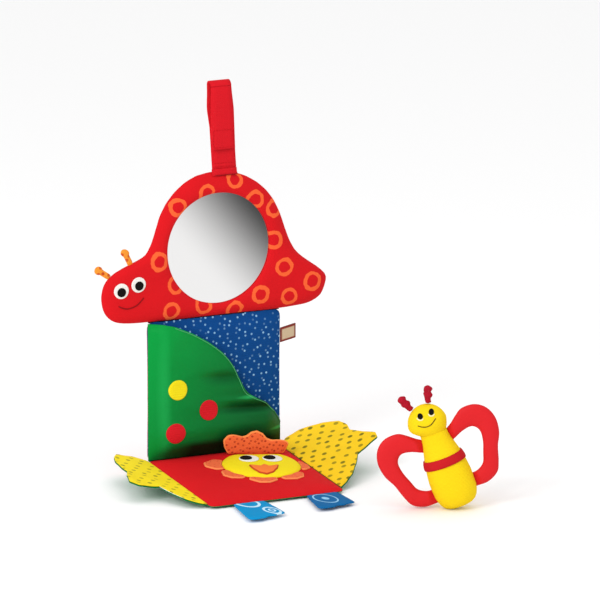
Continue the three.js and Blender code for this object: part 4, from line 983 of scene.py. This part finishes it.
head_x, head_z, neck_z, head_radius = -0.0022, 0.0915, 0.0815, 0.02
rings = [hoop(head_x * min(max(z - 0.0822, 0) / 0.006, 1), z, r, r * 0.83, 64) for z, r in (
    (neck_z, 0.0138), (0.0824, 0.0145), (0.0836, 0.0157), (0.0853, 0.0171), (0.0873, 0.0185),
    (0.09, 0.01965), (0.093, 0.0202), (0.0962, 0.0196), (0.0995, 0.0184), (0.1025, 0.0168),
    (0.1052, 0.0146), (0.1075, 0.0121), (0.1095, 0.009), (0.1108, 0.0058), (0.1115, 0.0028))]
bf_head = solid("plush_head", rings, "butterfly", plush, ["butterfly_head"],
                [bf_place @ Vector((0, 0, neck_z)), bf_place @ Vector((head_x, 0, 0.1117))])
on_head = surface_of(bf_head)
for hand in ("left", "right"):
    applique(f"plush_eye_{hand}", f"butterfly_{hand}_eye", bf_place, on_head, 0.0002, 0.0012,
             "butterfly", black_felt, 32, grow=0.88)
pale_felt = cloth("pale_felt", "F2E8B4", rough=0.95, relief=0.3)
lid_z, lid_radius = head_z + 0.62 * head_radius, 0.0037
for hand, share in (("left", -0.18), ("right", 0.42)):
    lid_x = head_x + share * head_radius
    stitched_line(f"plush_lid_{hand}", [(lid_x + lid_radius * math.cos(a), lid_z + lid_radius * math.sin(a))
                                        for a in (-3.0, -2.3, -1.6, -0.9)],
                  bf_place, on_head, 0.0007, "butterfly", pale_felt, 16)
stitched_line("plush_smile", ((-0.0115, 0.096), (-0.0082, 0.0939), (-0.0036, 0.0923), (0.0018, 0.0929),
                              (0.0082, 0.0967)),
              bf_place, on_head, 0.0005, "butterfly",
              cloth("smile_thread", "5E4A12", thread=6000.0, relief=0.3), 36)

# ---------------------------------------------------------------- butterfly's ring wings
# Soft red rings: a rounded section that follows the ring between its outer and inner edges and
# thins where it is sewn to the body.
soft_red = woven("soft_red", "D0171E", 0.6, 0.2, 1200.0, 0.12, 0.07)
ring_outer = [(0.31, 0.87), (0.41, 0.935), (0.55, 1), (0.76, 0.99), (0.92, 0.895), (0.995, 0.735),
              (0.97, 0.55), (0.875, 0.39), (0.8, 0.205), (0.72, 0.08), (0.54, 0.006)]
ring_inner = [(0.44, 0.722), (0.6, 0.735), (0.69, 0.655), (0.68, 0.52), (0.615, 0.37), (0.555, 0.253),
              (0.44, 0.19)]
ring_wide, ring_tall, ring_deep = 0.064, 0.081, 0.0046


def spline(points, count):
    """Even points on a smooth path."""
    points = [Vector(p) for p in points]
    knots = with_ends(points)
    fine = [between(knots, i, k / 12) for i in range(len(points) - 1) for k in range(12)]
    fine.append(points[-1])
    runs = np.cumsum([0] + [(q - p).length for p, q in zip(fine, fine[1:])])
    even = np.linspace(0, runs[-1], count)
    flat = np.array([p[:] for p in fine])
    return np.stack([np.interp(even, runs, flat[:, 0]), np.interp(even, runs, flat[:, 1])], 1)


rounded = lambda value: math.copysign(abs(value) ** 0.8, value)
for hand, side, foot in (("left", -1, 0.011), ("right", 1, 0.0135)):
    seat = [(side_at(foot + s * ring_tall) - 0.0006, foot + s * ring_tall) for s in (0.82, 0.655, 0.18, 0)]
    measured = lambda pairs: [(x * ring_wide, foot + z * ring_tall) for x, z in pairs]
    outer_edge = spline([seat[0]] + measured(ring_outer) + [seat[3]], 72)
    inner_edge = spline([seat[1]] + measured(ring_inner) + [seat[2]], 72)
    rings = []
    for o, i in zip(outer_edge, inner_edge):
        middle, half = (o + i) / 2, (o - i) / 2
        out = middle[0] - side_at(min(middle[1], neck_z))
        thick = ring_deep * min(1, 0.16 + max(out - 0.0006, 0) / 0.006)
        ring = []
        for a in [n * math.pi / 10 for n in range(20)]:
            p = middle + half * rounded(math.cos(a))
            ring.append(bf_place @ Vector((side * p[0], thick * rounded(math.sin(a)), p[1])))
        rings.append(ring)
    ends = [bf_place @ Vector((side * (outer_edge[n][0] + inner_edge[n][0]) / 2, 0,
                               (outer_edge[n][1] + inner_edge[n][1]) / 2)) for n in (0, -1)]
    solid(f"ring_wing_{hand}", rings, f"butterfly_{hand}_wing", soft_red,
          [f"butterfly_{hand}_wing"], ends)

# ---------------------------------------------------------------- butterfly's antennae
# Two short lengths of twisted red cord, each tied in two knots, one above the other. They are
# sewn into the top of the head.
cord_red = cloth("cord_red", "A81428", thread=2400.0, relief=0.7, drift=0.3)
for hand, seat, lean in (("left", -0.51, -0.41), ("right", 0.38, 0.33)):
    place = (bf_place @ Matrix.Translation((head_x + math.sin(seat) * head_radius, 0,
                                            head_z + math.cos(seat) * head_radius))
             @ turned("Y", math.degrees(lean)))
    rings = []
    for z, r in ((0.0009, 0.0011), (0.0019, 0.0029), (0.0042, 0.0029), (0.006, 0.0031), (0.0078, 0.004),
                 (0.0096, 0.0044), (0.0112, 0.0042), (0.0126, 0.0035), (0.0138, 0.004), (0.0152, 0.0044),
                 (0.0168, 0.0041), (0.0182, 0.0029), (0.0191, 0.0011)):
        ring = []
        for a in [n * math.pi / 12 for n in range(24)]:
            strand = r * (1 + 0.14 * math.sin(3 * a + z * 900))
            ring.append(place @ Vector((math.cos(a) * strand, math.sin(a) * strand, z)))
        rings.append(ring)
    solid(f"cord_knots_{hand}", rings, f"butterfly_{hand}_antenna", cord_red,
          [f"butterfly_{hand}_antenna"],
          [place @ Vector((0, 0, 0.0009)), place @ Vector((0, 0, 0.0193))])

# ---------------------------------------------------------------- rattle capsule
# A capsule of pale plastic, which keeps its CAD form. It lies inside the butterfly's stuffing,
# where no view shows it.
repaint("rattle_capsule", cloth("capsule_plastic", "E9E4D8", rough=0.4, sheen=0, relief=0.05))
